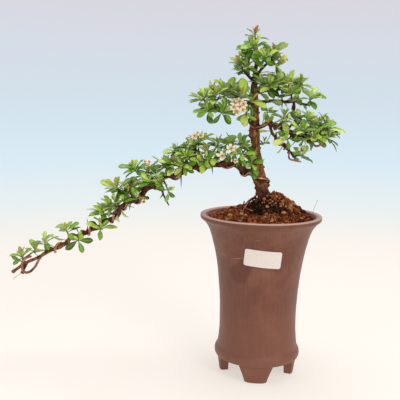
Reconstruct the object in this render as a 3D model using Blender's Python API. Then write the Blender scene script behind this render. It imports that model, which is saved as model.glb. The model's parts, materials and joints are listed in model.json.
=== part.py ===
"""Pyracantha bonsai in a round, unglazed ceramic cascade pot.

The plant is modelled round the pot's own axis: the long branch trails to -X, the side that is
looked at faces -Y, and the feet stand on z = 0. At the end an empty carries every piece so that
the middle of the whole outline is over the origin. Sizes here are in millimetres.
"""

import math
import random

import bmesh
import bpy
from mathutils import Vector
from mathutils.bvhtree import BVHTree

MM = 0.001
SEED = 1707
FRONT = Vector((0.0, -1.0, 0.0))
UP = Vector((0.0, 0.0, 1.0))

# Clearances between separate pieces
SEAT_GAP = 0.4
LEAF_GAP = 0.35
WIRE_GAP = 0.45
LABEL_GAP = 0.4

# Pot, as radius and height pairs round its axis
POT_SIDES = 32
POT_BASE = 20.5
POT_FLOOR = 29.5
DRAIN_RADIUS = 10.5
POT_OUTSIDE = [
    (66.4, 187.0), (69.4, 185.8), (69.7, 183.2), (66.2, 180.0), (61.1, 174.0), (57.4, 165.0),
    (53.1, 150.0), (49.4, 130.0), (46.3, 100.0), (44.6, 70.0), (45.2, 46.0), (47.7, 31.5),
    (49.6, 28.4), (49.2, 21.8), (46.9, POT_BASE),
]
POT_INSIDE = [
    (36.0, POT_FLOOR), (39.0, 34.0), (39.2, 75.0), (43.8, 130.0), (51.6, 165.0), (55.4, 174.0),
    (61.4, 182.5), (63.8, 186.2),
]
FOOT_COUNT = 4
FOOT_TOP_HALF = 21.0
FOOT_SOLE_HALF = 13.3
FOOT_OUTER = (43.6, 46.6)
FOOT_INNER = (34.0, 35.0)
FOOT_TOP = 22.0
FOOT_CORNER = 3.0

# Drainage mesh over the hole in the pot's floor
MESH_BARS = 4
MESH_PITCH = 7.4
MESH_BAR = 2.0
MESH_THICK = 1.2

# Soil: its side follows the pot's inside, its top is a mound of granules
SOIL_SIDE = [(54.7, 174.0), (50.3, 165.0), (42.2, 130.0), (38.2, 75.0), (38.1, 34.5), (35.3, 29.9)]
SOIL_EDGE = 59.8
SOIL_LEVEL = 181.6
SOIL_RINGS = 9
MOUND_CENTRE = (17.0, 10.0)
MOUND_HEIGHT = 35.0
MOUND_SPREAD = 36.0
MOUND_ROUND = 5.0
HOLLOW_CENTRE = (0.0, -16.0)
HOLLOW_DEPTH = 8.0
HOLLOW_SPREAD = 13.0
GRANULE_RELIEF = 1.5
GRANULE_SHIFT = 1.3

# Wood: hand-placed points as (x, y, z, radius)
TRUNK = [
    (5, 8, 164, 8.0), (5, 8, 186, 9.2), (4, 8, 203, 9.6), (1, 8, 213, 7.9), (-2, 7, 225, 8.5),
    (-5, 6, 235, 8.4), (-6, 5, 246, 6.4), (-6, 5, 252, 5.2), (-8, 4, 261, 4.9), (-9, 3, 270, 5.3),
    (-10, 2, 279, 6.2), (-10, 0, 293, 5.6), (-11, -1, 306, 5.2), (-11, 0, 317, 4.8),
    (-12, 1, 326, 4.4), (-12, 2, 334, 3.9), (-12, 3, 342, 3.1), (-11, 3, 352, 2.4),
    (-10, 2, 361, 2.0), (-10, 2, 368, 1.8), (-11, 2, 375, 1.6), (-12, 2, 381, 1.4),
]
ROOTS = [
    [(4, 6, 203, 5.5), (3, -4, 195, 4.6), (2, -12, 186, 3.4), (2, -18, 178, 2.2)],
    [(2, 8, 201, 5.5), (-7, 8, 193, 4.2), (-16, 8, 185, 3.0), (-23, 8, 176, 1.8)],
    [(5, 10, 203, 5.5), (14, 14, 200, 4.4), (24, 19, 190, 3.2), (32, 24, 178, 2.0)],
]
LONG_BRANCH = [
    (-6, 6, 235, 4.6), (-14, 3.5, 235, 4.4), (-19, 2, 236, 4.1), (-24, 0, 239, 3.9),
    (-30, -3, 244, 4.0), (-38, -6, 246, 4.0), (-48, -8, 244, 3.7), (-57, -9, 244, 3.6),
    (-65, -9, 241, 3.8), (-72, -8, 240, 3.6), (-81, -6, 240, 3.4), (-86, -5, 238, 3.6),
    (-93, -6, 233, 3.4), (-100, -9, 230, 3.2), (-109, -12, 229, 3.2), (-115, -14, 224, 3.1),
    (-122, -14, 219, 3.2), (-127, -12, 216, 3.1), (-133, -10, 213, 3.2), (-137, -10, 207, 3.0),
    (-142, -12, 201, 2.9), (-150, -15, 199, 2.9), (-156, -18, 196, 2.9), (-161, -20, 191, 2.9),
    (-165, -20, 182, 2.8), (-175, -18, 177, 2.7), (-182, -16, 173, 2.7), (-188, -15, 167, 2.7),
    (-197, -16, 164, 2.6), (-206, -18, 159, 2.6), (-220, -20, 154, 2.5), (-227, -20, 147, 2.5),
    (-235, -18, 142, 2.4), (-245, -17, 138, 2.4), (-255, -16, 132, 2.3), (-264, -17, 127, 2.2),
    (-273, -18, 123, 2.1), (-281, -18, 118, 2.0), (-292, -18, 110, 1.8),
]
BRANCHES = {
    "upper_left": [(-11, 0, 314, 3.0), (-22, -7, 313, 2.2), (-33, -12, 310, 2.0),
                   (-44, -13, 308, 1.8), (-55, -11, 309, 1.6), (-64, -8, 312, 1.3)],
    "upper_back": [(-12, 2, 321, 2.4), (-28, 9, 322, 1.8), (-42, 14, 325, 1.6), (-54, 17, 325, 1.3)],
    "right_front": [(-11, 0, 314, 3.0), (2, 5, 316, 2.1), (12, 9, 317, 1.9), (28, 11, 316, 1.8),
                    (34, 11, 318, 1.8), (41, 10, 314, 1.6), (52, 8, 313, 1.3)],
    "right_back": [(-12, 2, 325, 2.6), (1, 12, 328, 1.8), (15, 18, 330, 1.6), (29, 21, 331, 1.4),
                   (38, 22, 332, 1.2)],
    "right_low": [(-9, 0, 287, 3.2), (-2, -4, 288, 2.5), (4, -8, 291, 2.2), (9, -10, 290, 2.2),
                  (16, -12, 287, 2.1), (24, -14, 284, 2.0), (31, -16, 280, 1.9),
                  (42, -17, 278, 1.8), (50, -16, 274, 1.6), (60, -13, 273, 1.3)],
    "right_hang": [(7, -9, 290, 2.0), (9, -11, 282, 1.8), (13, -12, 277, 1.7), (18, -14, 271, 1.6),
                   (24, -17, 266, 1.6), (30, -20, 261, 1.5), (34, -22, 255, 1.3)],
    "apex_right": [(-12, 2, 341, 2.4), (-5, 0, 351, 1.8), (3, -2, 359, 1.3)],
    "apex_left": [(-12, 2, 337, 2.4), (-19, 0, 344, 1.7), (-25, -3, 350, 1.3)],
    "long_twig_near": [(-74, -8, 240, 2.0), (-77, -9, 254, 1.5), (-76, -8, 263, 1.2)],
    "long_twig_far": [(-127, -12, 216, 2.2), (-132, -11, 223, 1.7), (-142, -10, 231, 1.2)],
    "long_twig_fork": [(-131, -11, 221, 1.6), (-132, -8, 229, 1.2)],
    "cut_stub": [(-275, -18, 121, 1.9), (-279, -20, 110, 1.6)],
    "thorny_twig": [(-115, -14, 222, 1.7), (-112, -15, 209, 1.3), (-105, -16, 196, 0.8)],
    "brown_bud": [(33, 11, 317, 1.6), (34, 9, 311, 1.5)],
}
# Thorns as base point and tip, on the limb that carries them
THORNS = [
    ((-93, -6, 232), (-92, -9, 215)), ((20, 10, 316), (20, 9, 307)), ((20, 10, 317), (19, 7, 325)),
    ((-112, -15, 209), (-116, -16, 203)), ((-109, -15, 203), (-104, -16, 206)),
    ((-10, 2, 279), (-19, -2, 284)), ((-6, 5, 246), (3, 0, 251)), ((-57, -9, 244), (-56, -12, 232)),
    ((-202, -17, 161), (-199, -18, 172)), ((-150, -15, 199), (-151, -17, 188)),
    ((16, -12, 287), (19, -14, 296)), ((-44, -13, 308), (-43, -17, 300)),
]
THORN_RADIUS = 0.9

# Shaping wires
WIRE_THICK = 1.5
WIRE_MEDIUM = 1.2
WIRE_THIN = 1.0
LONG_COIL_FRONTS = [-17, -33, -62, -94, -116, -140, -155, -168, -184, -198, -208, -221, -238, -250]
LOW_COIL_FRONTS = [5, 17, 27, 36, 45, 53]
HANG_COIL_FRONTS = [11, 16, 21, 26, 30]
COIL_STEPS = 7

# Leaf blade proportions
LEAF_LENGTH = 17.0
LEAF_WIDTH = 0.40
LEAF_THICK = 1.0
LEAF_SECTIONS = [(0.0, 0.12), (0.42, 0.80), (0.74, 1.0)]
LEAF_ARCH = 0.16
STEM_SIDES = 3
STEM_RADIUS = 1.2
HUB_RADIUS = 1.5
HUB_SPREAD = 3.6
SEAT_SHIFTS = [0.0, 0.3, -0.3, 0.6, -0.6, 0.9, -0.9, 1.2, -1.2, 1.6, -1.6, 2.0, -2.0]
NUDGE_STEP = 2.5
NUDGES = [(0, 0, 0), (0, -1, 0), (0, 0, 1), (0, 1, 0), (1, 0, 0), (-1, 0, 0), (0, -1, 1), (0, 1, 1),
          (1, -1, 0), (-1, -1, 0), (1, 0, 1), (-1, 0, 1), (0, -2, 0), (0, 2, 0), (0, 0, 2)]

# Other ways to set a leaf that would cross something: turn and lean in degrees, share of length
LEAF_TRIES = [(0, 0, 1.0), (20, -8, 1.0), (-20, -8, 1.0), (40, -14, 0.9), (-40, -14, 0.9),
              (10, -22, 0.85), (70, -10, 0.8), (-70, -10, 0.8)]

# Leafy sprays: name and its rosettes as (x, y, z, leaves, length factor)
SPRAYS = [
    ("tip", [(-280, -18, 128, 5, 1.0), (-267, -11, 134, 4, 0.9)]),
    ("low_a", [(-252, -17, 146, 5, 1.05)]),
    ("low_b", [(-225, -19, 162, 5, 1.0)]),
    ("low_c", [(-209, -26, 153, 5, 1.05)]),
    ("low_d", [(-184, -11, 183, 5, 1.0)]),
    ("low_e", [(-168, -14, 190, 5, 1.05)]),
    ("low_f", [(-183, -25, 167, 4, 0.95)]),
    ("mid_a", [(-152, -7, 211, 4, 1.0), (-166, -12, 212, 5, 1.15)]),
    ("mid_b", [(-142, -20, 203, 4, 1.0)]),
    ("mid_c", [(-146, -10, 235, 4, 0.9)]),
    ("mid_d", [(-133, -6, 233, 4, 0.9)]),
    ("mid_e", [(-111, -7, 240, 4, 1.0), (-100, -20, 243, 4, 0.9)]),
    ("mid_f", [(-97, -2, 257, 4, 1.0), (-84, 0, 261, 4, 0.9)]),
    ("mid_g", [(-116, -23, 223, 4, 0.9)]),
    ("mid_h", [(-106, -18, 213, 4, 0.85)]),
    ("mid_i", [(-87, -12, 251, 4, 0.95), (-88, -19, 243, 4, 0.85)]),
    ("mid_j", [(-76, -8, 268, 5, 0.95)]),
    ("near_a", [(-62, -14, 257, 4, 0.95), (-66, -21, 248, 4, 0.9)]),
    ("near_b", [(-54, -3, 265, 4, 1.0), (-39, -1, 267, 4, 1.0)]),
    ("near_c", [(-22, -1, 263, 4, 1.0), (-24, -13, 256, 4, 0.9)]),
    ("near_d", [(-13, -13, 246, 6, 1.05)]),
    ("near_e", [(-43, -17, 253, 4, 0.9)]),
    ("top_left_a", [(-68, -8, 317, 5, 0.95)]),
    ("top_left_b", [(-54, -14, 320, 4, 0.95), (-34, -7, 325, 5, 1.0)]),
    ("top_left_c", [(-45, 8, 327, 4, 1.0), (-60, 16, 327, 4, 0.95)]),
    ("top_left_d", [(-25, -18, 319, 4, 1.1), (-15, -15, 314, 4, 0.9)]),
    ("top_left_e", [(-62, -16, 304, 4, 0.95), (-46, -18, 302, 4, 0.95)]),
    ("top_left_f", [(-20, -14, 302, 4, 0.95)]),
    ("crown_a", [(-13, 2, 387, 5, 0.95)]),
    ("crown_b", [(-13, -7, 374, 4, 0.95), (-17, -5, 364, 4, 0.9)]),
    ("crown_c", [(-3, -10, 361, 4, 1.0)]),
    ("crown_d", [(8, -2, 366, 5, 1.1), (11, -4, 356, 4, 0.95)]),
    ("crown_e", [(-29, -4, 354, 4, 0.95), (-21, -8, 352, 4, 0.9)]),
    ("right_a", [(1, 4, 332, 4, 1.05), (14, 10, 334, 4, 1.0)]),
    ("right_b", [(27, 14, 335, 4, 1.0), (41, 19, 335, 4, 0.95)]),
    ("right_c", [(29, 4, 324, 4, 0.95)]),
    ("right_d", [(51, 5, 319, 5, 1.0)]),
    ("right_e", [(3, 1, 305, 4, 0.9)]),
    ("right_f", [(22, -8, 297, 4, 0.95)]),
    ("right_g", [(36, -12, 295, 4, 0.95), (47, -19, 294, 4, 1.0)]),
    ("right_h", [(57, -10, 287, 4, 0.95), (70, -10, 286, 5, 1.05)]),
    ("right_i", [(56, -23, 277, 4, 1.0), (72, -15, 277, 4, 0.95)]),
    ("right_j", [(40, -25, 283, 4, 0.9)]),
    ("right_k", [(27, -20, 275, 4, 0.85)]),
    ("right_l", [(43, -24, 256, 4, 0.95)]),
    ("trunk_shoot", [(0, 3, 268, 4, 0.6)]),
]

# Flower clusters: name, hub, flowers as (x, y, z), flower radius
FLOWERS = [
    ("flowers_upper_left", (-32, -20, 309), [(-39, -25, 316), (-30, -27, 317), (-23, -25, 313),
     (-38, -29, 308), (-29, -30, 309), (-34, -26, 301), (-24, -26, 304)], 4.6),
    ("flowers_long_twig", (-79, -11, 269), [(-81, -18, 276), (-73, -20, 277), (-85, -13, 271)], 4.4),
    ("flowers_near_trunk", (-36, -17, 253), [(-35, -24, 263), (-44, -27, 255), (-30, -24, 250)], 5.2),
    ("flowers_far_twig", (-130, -10, 238), [(-135, -14, 246), (-127, -15, 246), (-130, -18, 240)], 4.2),
]
PETALS = 5
STALK_RADIUS = 0.5
BERRY_CENTRE = (-130, -17, 204)
BERRY_RADIUS = 2.3

# Sticker on the pot's front
LABEL_WIDTH = 41.0
LABEL_HEIGHT = 19.5
LABEL_THICK = 0.6
LABEL_CENTRE = (4.0, 146.0)
LABEL_TILT = math.radians(-3.0)
LABEL_CORNER = 2.5


def clear_scene():
    """Remove whatever the open file holds."""
    for item in list(bpy.data.objects):
        bpy.data.objects.remove(item, do_unlink=True)


def make_material(name, colour, roughness, metallic=0.0):
    """A Principled material with one plain colour."""
    material = bpy.data.materials.new(name)
    material.use_nodes = True
    shader = material.node_tree.nodes["Principled BSDF"]
    shader.inputs["Base Color"].default_value = (*colour, 1.0)
    shader.inputs["Roughness"].default_value = roughness
    shader.inputs["Metallic"].default_value = metallic
    return material


def add_object(name, shape, material):
    """A named object from (vertices, faces) in millimetres, with its faces pointing out."""
    verts, faces = shape
    mesh = bpy.data.meshes.new(name)
    mesh.from_pydata([Vector(v) * MM for v in verts], [], faces)
    mesh.materials.append(material)
    work = bmesh.new()
    work.from_mesh(mesh)
    bmesh.ops.recalc_face_normals(work, faces=work.faces)
    work.to_mesh(mesh)
    work.free()
    item = bpy.data.objects.new(name, mesh)
    bpy.context.scene.collection.objects.link(item)
    return item


def bake_modifiers(item):
    """Replace an object's mesh with its evaluated one."""
    graph = bpy.context.evaluated_depsgraph_get()
    mesh = bpy.data.meshes.new_from_object(item.evaluated_get(graph))
    mesh.name = item.name
    item.modifiers.clear()
    item.data = mesh


def keep_largest_body(item):
    """Drop loose scraps, and say whether what is left is one closed surface."""
    work = bmesh.new()
    work.from_mesh(item.data)
    seen = set()
    bodies = []
    for start in work.verts:
        if start in seen:
            continue
        body = [start]
        seen.add(start)
        for vert in body:
            for edge in vert.link_edges:
                other = edge.other_vert(vert)
                if other not in seen:
                    seen.add(other)
                    body.append(other)
        bodies.append(body)
    bodies.sort(key=len, reverse=True)
    for body in bodies[1:]:
        bmesh.ops.delete(work, geom=body, context="VERTS")
    closed = all(len(edge.link_faces) == 2 for edge in work.edges)
    work.to_mesh(item.data)
    work.free()
    return closed


def boolean_once(name, shapes, material, operation, solver):
    """One Boolean of the first shape with a collection that holds all the others."""
    item = add_object(name, shapes[0], material)
    group = bpy.data.collections.new(name + "_parts")
    bpy.context.scene.collection.children.link(group)
    for index, shape in enumerate(shapes[1:]):
        part = add_object(f"{name}_part_{index}", shape, material)
        bpy.context.scene.collection.objects.unlink(part)
        group.objects.link(part)
    fuse = item.modifiers.new("Fuse", "BOOLEAN")
    fuse.operation = operation
    fuse.solver = solver
    fuse.operand_type = "COLLECTION"
    fuse.collection = group
    bake_modifiers(item)
    for part in list(group.objects):
        bpy.data.objects.remove(part, do_unlink=True)
    bpy.data.collections.remove(group)
    return item, keep_largest_body(item)


def combine(name, shapes, material, operation="UNION"):
    """The first shape joined with, or cut by, all the others, as one closed body."""
    item, closed = boolean_once(name, shapes, material, operation, "EXACT")
    if not closed:
        bpy.data.objects.remove(item, do_unlink=True)
        item, closed = boolean_once(name, shapes, material, operation, "MANIFOLD")
        item.name = name
    return item


def tube(points, radii, sides, pointed=False):
    """A closed tube through the points; a pointed one ends in a single corner."""
    points = [Vector(p) for p in points]
    verts = []
    faces = []
    last = len(points) - 1
    rings = last if pointed else last + 1
    side = None
    for index in range(rings):
        ahead = points[min(index + 1, last)] - points[max(index - 1, 0)]
        ahead.normalize()
        if side is None:
            side = ahead.orthogonal()
        side = (side - ahead * side.dot(ahead)).normalized()
        across = ahead.cross(side)
        for corner in range(sides):
            turn = math.tau * corner / sides
            arm = side * math.cos(turn) + across * math.sin(turn)
            verts.append(points[index] + arm * radii[index])
    for index in range(rings - 1):
        for corner in range(sides):
            after = (corner + 1) % sides
            low = index * sides
            high = low + sides
            faces.append((low + corner, low + after, high + after, high + corner))
    faces.append(tuple(reversed(range(sides))))
    top = (rings - 1) * sides
    if pointed:
        verts.append(points[last])
        for corner in range(sides):
            faces.append((top + corner, top + (corner + 1) % sides, len(verts) - 1))
    else:
        faces.append(tuple(range(top, top + sides)))
    return verts, faces


def smooth_run(points, step):
    """Points and radii along a Catmull-Rom curve through (x, y, z, radius) points."""
    count = len(points)
    axis = []
    radii = []
    for index in range(count - 1):
        around = [points[max(index - 1, 0)], points[index], points[index + 1],
                  points[min(index + 2, count - 1)]]
        span = (Vector(around[2][:3]) - Vector(around[1][:3])).length
        pieces = max(1, round(span / step))
        for piece in range(pieces):
            t = piece / pieces
            weights = ((-t + 2 * t * t - t ** 3) / 2, (2 - 5 * t * t + 3 * t ** 3) / 2,
                       (t + 4 * t * t - 3 * t ** 3) / 2, (-t * t + t ** 3) / 2)
            value = [sum(w * p[k] for w, p in zip(weights, around)) for k in range(4)]
            axis.append(Vector(value[:3]))
            radii.append(value[3])
    axis.append(Vector(points[-1][:3]))
    radii.append(points[-1][3])
    return axis, radii


class Limb:
    """A woody limb with a smooth axis and a changing radius."""

    def __init__(self, points, step, sides):
        self.axis, self.radii = smooth_run(points, step)
        self.sides = sides

    def shape(self, extra=0.0):
        """The limb's closed tube, or a fatter one to cut its hole."""
        return tube(self.axis, [r + extra for r in self.radii], self.sides)

    def at(self, place):
        """Point, direction and radius at a fractional station."""
        place = min(max(place, 0.0), len(self.axis) - 1.001)
        low = int(place)
        part = place - low
        point = self.axis[low].lerp(self.axis[low + 1], part)
        radius = self.radii[low] * (1 - part) + self.radii[low + 1] * part
        ahead = (self.axis[low + 1] - self.axis[low]).normalized()
        before = (self.axis[low] - self.axis[max(low - 1, 0)]).normalized() if low else ahead
        return point, before.lerp(ahead, 0.5 + part / 2).normalized(), radius

    def station(self, key, value):
        """The fractional station where a coordinate first reaches a value."""
        for low in range(len(self.axis) - 1):
            start = self.axis[low][key]
            end = self.axis[low + 1][key]
            if (start - value) * (end - value) <= 0 and start != end:
                return low + (value - start) / (end - start)
        return len(self.axis) - 1.0

    def nearest(self, point):
        """The fractional station nearest to a point, and its distance."""
        best = (0.0, math.inf)
        for low in range(len(self.axis) - 1):
            run = self.axis[low + 1] - self.axis[low]
            part = (point - self.axis[low]).dot(run) / run.length_squared
            part = min(max(part, 0.0), 1.0)
            gap = (self.axis[low] + run * part - point).length
            if gap < best[1]:
                best = (low + part, gap)
        return best


class Crowd:
    """Placed shapes that later shapes have to stay clear of."""

    def __init__(self):
        self.members = []

    def add(self, shape):
        """Remember a placed shape."""
        verts = [Vector(v) for v in shape[0]]
        low = [min(v[k] for v in verts) for k in range(3)]
        high = [max(v[k] for v in verts) for k in range(3)]
        self.members.append((low, high, BVHTree.FromPolygons(verts, shape[1])))

    def clear(self, shape):
        """Whether a shape crosses none of the placed ones."""
        verts = [Vector(v) for v in shape[0]]
        low = [min(v[k] for v in verts) for k in range(3)]
        high = [max(v[k] for v in verts) for k in range(3)]
        own = None
        for other_low, other_high, tree in self.members:
            if any(low[k] > other_high[k] or high[k] < other_low[k] for k in range(3)):
                continue
            if own is None:
                own = BVHTree.FromPolygons(verts, shape[1])
            if own.overlap(tree):
                return False
        return True


def radius_at(profile, height):
    """Radius of a turned profile, read straight between its points."""
    rows = sorted(profile, key=lambda row: row[1])
    for low, high in zip(rows, rows[1:]):
        if low[1] <= height <= high[1]:
            part = (height - low[1]) / (high[1] - low[1])
            return low[0] + (high[0] - low[0]) * part
    return rows[-1][0]


def turned(profile, sides):
    """A closed ring of revolution from a closed profile of radius and height."""
    verts = []
    faces = []
    count = len(profile)
    for step in range(sides):
        turn = math.tau * (step + 0.5) / sides
        verts += [(r * math.cos(turn), r * math.sin(turn), z) for r, z in profile]
    for step in range(sides):
        here = step * count
        there = ((step + 1) % sides) * count
        for k in range(count):
            after = (k + 1) % count
            faces.append((here + k, there + k, there + after, here + after))
    return verts, faces


def pot_foot(middle):
    """A curved trapezium foot: wide at the pot, narrower at the floor, with eased corners."""
    levels = [(0.0, FOOT_SOLE_HALF - FOOT_CORNER * 0.7), (FOOT_CORNER * 0.45, FOOT_SOLE_HALF),
              (FOOT_TOP, FOOT_TOP_HALF)]
    stations = 4
    verts = []
    for z, half in levels:
        rise = z / FOOT_TOP
        outer = FOOT_OUTER[0] + (FOOT_OUTER[1] - FOOT_OUTER[0]) * rise
        inner = FOOT_INNER[0] + (FOOT_INNER[1] - FOOT_INNER[0]) * rise
        spread = math.asin(half / outer)
        for radius in (outer, inner):
            for k in range(stations + 1):
                turn = middle + spread * (2 * k / stations - 1)
                verts.append((radius * math.cos(turn), radius * math.sin(turn), z))
    row = stations + 1
    faces = []
    for level in range(len(levels) - 1):
        base = level * 2 * row
        above = base + 2 * row
        for k in range(stations):
            faces.append((base + k, base + k + 1, above + k + 1, above + k))
            faces.append((base + row + k, above + row + k, above + row + k + 1, base + row + k + 1))
        for k in (0, stations):
            faces.append((base + k, above + k, above + row + k, base + row + k))
    for base in (0, (len(levels) - 1) * 2 * row):
        for k in range(stations):
            faces.append((base + k, base + row + k, base + row + k + 1, base + k + 1))
    return verts, faces


def make_pot(material):
    """The fired pot: turned body with lip and foot band, drain hole, and four feet."""
    profile = POT_OUTSIDE + [(DRAIN_RADIUS, POT_BASE), (DRAIN_RADIUS, POT_FLOOR)] + POT_INSIDE
    shapes = [turned(profile, POT_SIDES)]
    for foot in range(FOOT_COUNT):
        shapes.append(pot_foot(math.tau * foot / FOOT_COUNT - math.pi / 2))
    return combine("pot", shapes, material)


def make_drain_mesh(material):
    """A square plastic mesh with open windows over the drain hole; returns its half width."""
    half = MESH_PITCH * (MESH_BARS - 1) / 2 + MESH_BAR / 2
    cuts = []
    for bar in range(MESH_BARS):
        middle = (bar - (MESH_BARS - 1) / 2) * MESH_PITCH
        cuts += [middle - MESH_BAR / 2, middle + MESH_BAR / 2]
    low = POT_FLOOR + SEAT_GAP * 0.8
    count = len(cuts)
    verts = [(x, y, z) for z in (low, low + MESH_THICK) for y in cuts for x in cuts]

    def corner(layer, j, i):
        return layer * count * count + j * count + i

    def filled(j, i):
        inside = 0 <= i < count - 1 and 0 <= j < count - 1
        return inside and not (i % 2 and j % 2)

    faces = []
    for j in range(count - 1):
        for i in range(count - 1):
            if not filled(j, i):
                continue
            ring = [(j, i), (j, i + 1), (j + 1, i + 1), (j + 1, i)]
            for layer in (0, 1):
                faces.append(tuple(corner(layer, a, b) for a, b in ring))
            beyond = [(j - 1, i), (j, i + 1), (j + 1, i), (j, i - 1)]
            for k, cell in enumerate(beyond):
                if not filled(*cell):
                    a = ring[k]
                    b = ring[(k + 1) % 4]
                    faces.append((corner(0, *a), corner(0, *b), corner(1, *b), corner(1, *a)))
    add_object("drain_mesh", (verts, faces), material)
    return half


def soil_height(x, y):
    """Height of the soil's top before its granules are added."""
    away = math.hypot(x - MOUND_CENTRE[0], y - MOUND_CENTRE[1], MOUND_ROUND)
    edge = min(math.hypot(x, y) / SOIL_EDGE, 1.0)
    mound = MOUND_HEIGHT * math.exp(-away / MOUND_SPREAD) * (1 - edge ** 5)
    dip = math.hypot(x - HOLLOW_CENTRE[0], y - HOLLOW_CENTRE[1]) / HOLLOW_SPREAD
    return SOIL_LEVEL + mound - HOLLOW_DEPTH * math.exp(-dip * dip / 2) * (1 - edge ** 5)


def soil_shape():
    """The soil's closed body: a granular mound on sides that follow the pot."""
    rng = random.Random(SEED)
    verts = [(0.0, 0.0, soil_height(0.0, 0.0))]
    starts = [0]
    for ring in range(1, SOIL_RINGS + 1):
        starts.append(len(verts))
        radius = SOIL_EDGE * ring / SOIL_RINGS
        for k in range(6 * ring):
            turn = math.tau * k / (6 * ring)
            x = radius * math.cos(turn)
            y = radius * math.sin(turn)
            lift = rng.uniform(-GRANULE_RELIEF, GRANULE_RELIEF)
            if ring < SOIL_RINGS:
                x += rng.uniform(-GRANULE_SHIFT, GRANULE_SHIFT)
                y += rng.uniform(-GRANULE_SHIFT, GRANULE_SHIFT)
                verts.append((x, y, soil_height(x, y) + lift))
            else:
                verts.append((x, y, SOIL_LEVEL - 0.4 * abs(lift)))
    faces = []
    for ring in range(SOIL_RINGS):
        inner = max(6 * ring, 1)
        outer = 6 * (ring + 1)
        for sector in range(6):
            for k in range(ring + 1):
                a = starts[ring + 1] + (sector * (ring + 1) + k) % outer
                b = starts[ring + 1] + (sector * (ring + 1) + k + 1) % outer
                c = starts[ring] + (sector * ring + k) % inner
                faces.append((a, b, c))
                if k < ring:
                    d = starts[ring] + (sector * ring + k + 1) % inner
                    faces.append((c, b, d))
    half = 3 * SOIL_RINGS
    upper = starts[SOIL_RINGS]
    first = len(verts)
    for radius, z in SOIL_SIDE:
        for k in range(half):
            turn = math.tau * k / half
            verts.append((radius * math.cos(turn), radius * math.sin(turn), z))
    for k in range(half):
        after = (k + 1) % half
        even = upper + 2 * k
        odd = even + 1
        following = upper + (2 * k + 2) % (2 * half)
        faces += [(even, odd, first + k), (first + k, first + after, odd),
                  (odd, following, first + after)]
    for level in range(len(SOIL_SIDE) - 1):
        low = first + level * half
        for k in range(half):
            after = (k + 1) % half
            faces.append((low + k, low + after, low + half + after, low + half + k))
    last = first + (len(SOIL_SIDE) - 1) * half
    faces.append(tuple(range(last, last + half)))
    return verts, faces


def box_shape(low, high):
    """A plain closed box."""
    verts = [(x, y, z) for z in (low[2], high[2]) for y in (low[1], high[1])
             for x in (low[0], high[0])]
    faces = [(0, 1, 3, 2), (4, 5, 7, 6), (0, 1, 5, 4), (2, 3, 7, 6), (0, 2, 6, 4), (1, 3, 7, 5)]
    return verts, faces


def grown(limb, extra):
    """A limb's tube made fatter and longer by a clearance at its far end."""
    axis = list(limb.axis)
    axis[-1] = axis[-1] + (axis[-1] - axis[-2]).normalized() * extra
    return tube(axis, [r + extra for r in limb.radii], limb.sides)


def wire_point(limb, place, degrees, wire_radius):
    """A wire's centre at a station of the limb it is wound on; zero degrees faces the front."""
    point, ahead, radius = limb.at(place)
    front = (FRONT - ahead * FRONT.dot(ahead)).normalized()
    side = ahead.cross(front)
    phase = math.radians(degrees)
    reach = (radius + WIRE_GAP) / math.cos(math.pi / COIL_STEPS) + wire_radius
    return point + (front * math.cos(phase) + side * math.sin(phase)) * reach


def wind(limb, start, end, phases, steps, wire_radius):
    """Points of a wire wound from one station and phase of a limb to another."""
    points = []
    for step in range(steps + 1):
        part = step / steps
        degrees = phases[0] + (phases[1] - phases[0]) * part
        points.append(wire_point(limb, start + (end - start) * part, degrees, wire_radius))
    return points


def coil(limb, stations, wire_radius):
    """Points of a wire that turns once round a limb between each two stations."""
    points = []
    for start, end in zip(stations, stations[1:]):
        points += wind(limb, start, end, (0, -360), COIL_STEPS, wire_radius)[:-1]
    return points


def long_wire(trunk, branch):
    """Thick wire: out of the soil, once round the trunk, along the long branch, loose end loop."""
    buried = [Vector((-24, -9, 176)), Vector((-20, -6, 190)), Vector((-15, -2, 201))]
    climb = wind(trunk, trunk.station(2, 208), trunk.station(2, 233), (262, -40), 9, WIRE_THICK)
    stations = [branch.station(0, x) for x in LONG_COIL_FRONTS]
    turns = coil(branch, stations, WIRE_THICK)
    loop = [Vector(p) for p in ((-253, -23, 134), (-258, -22, 127), (-262, -24, 119),
                                (-268, -25, 113), (-274, -25, 112), (-278, -24, 117),
                                (-277, -23.5, 124), (-273, -23, 129), (-267, -22, 131))]
    return buried + climb + turns + loop


def low_wire(trunk, branch):
    """Middle wire: round the trunk above the low right branch, then along it."""
    start = trunk.station(2, 305)
    end = trunk.station(2, 284)
    climb = wind(trunk, start, end, (-215, 25), 8, WIRE_MEDIUM)
    stations = [branch.station(0, x) for x in LOW_COIL_FRONTS]
    return climb[:-1] + coil(branch, stations, WIRE_MEDIUM)


def hang_wire(branch):
    """Thin wire down the hanging branch, with a straight end under it."""
    stations = [branch.station(0, x) for x in HANG_COIL_FRONTS]
    turns = coil(branch, stations, WIRE_THIN)
    return turns[1:] + [Vector((29, -25.0, 254)), Vector((35, -27.5, 252)), Vector((42, -28, 251))]


def blade(root, ahead, up, length, width, extra=0.0):
    """One arched leaf blade with a keel below: a slim root, two broad sections and a point."""
    across = ahead.cross(up)
    verts = []
    for along, share in LEAF_SECTIONS:
        half = share * width / 2 + extra
        middle = root + ahead * (length * along) - up * (LEAF_ARCH * length * along * along)
        top = middle + up * (LEAF_THICK / 3 + extra)
        verts += [top - across * half, top + across * half,
                  middle - up * (LEAF_THICK * 2 / 3 + extra)]
    verts.append(root + ahead * (length + extra) - up * (LEAF_ARCH * length))
    faces = [(2, 1, 0)]
    for low in range(0, 3 * (len(LEAF_SECTIONS) - 1), 3):
        for k in range(3):
            a = low + k
            b = low + (k + 1) % 3
            faces += [(a, b, b + 3), (a, b + 3, a + 3)]
    low = 3 * (len(LEAF_SECTIONS) - 1)
    faces += [(low + k, low + (k + 1) % 3, len(verts) - 1) for k in range(3)]
    return verts, faces


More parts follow.
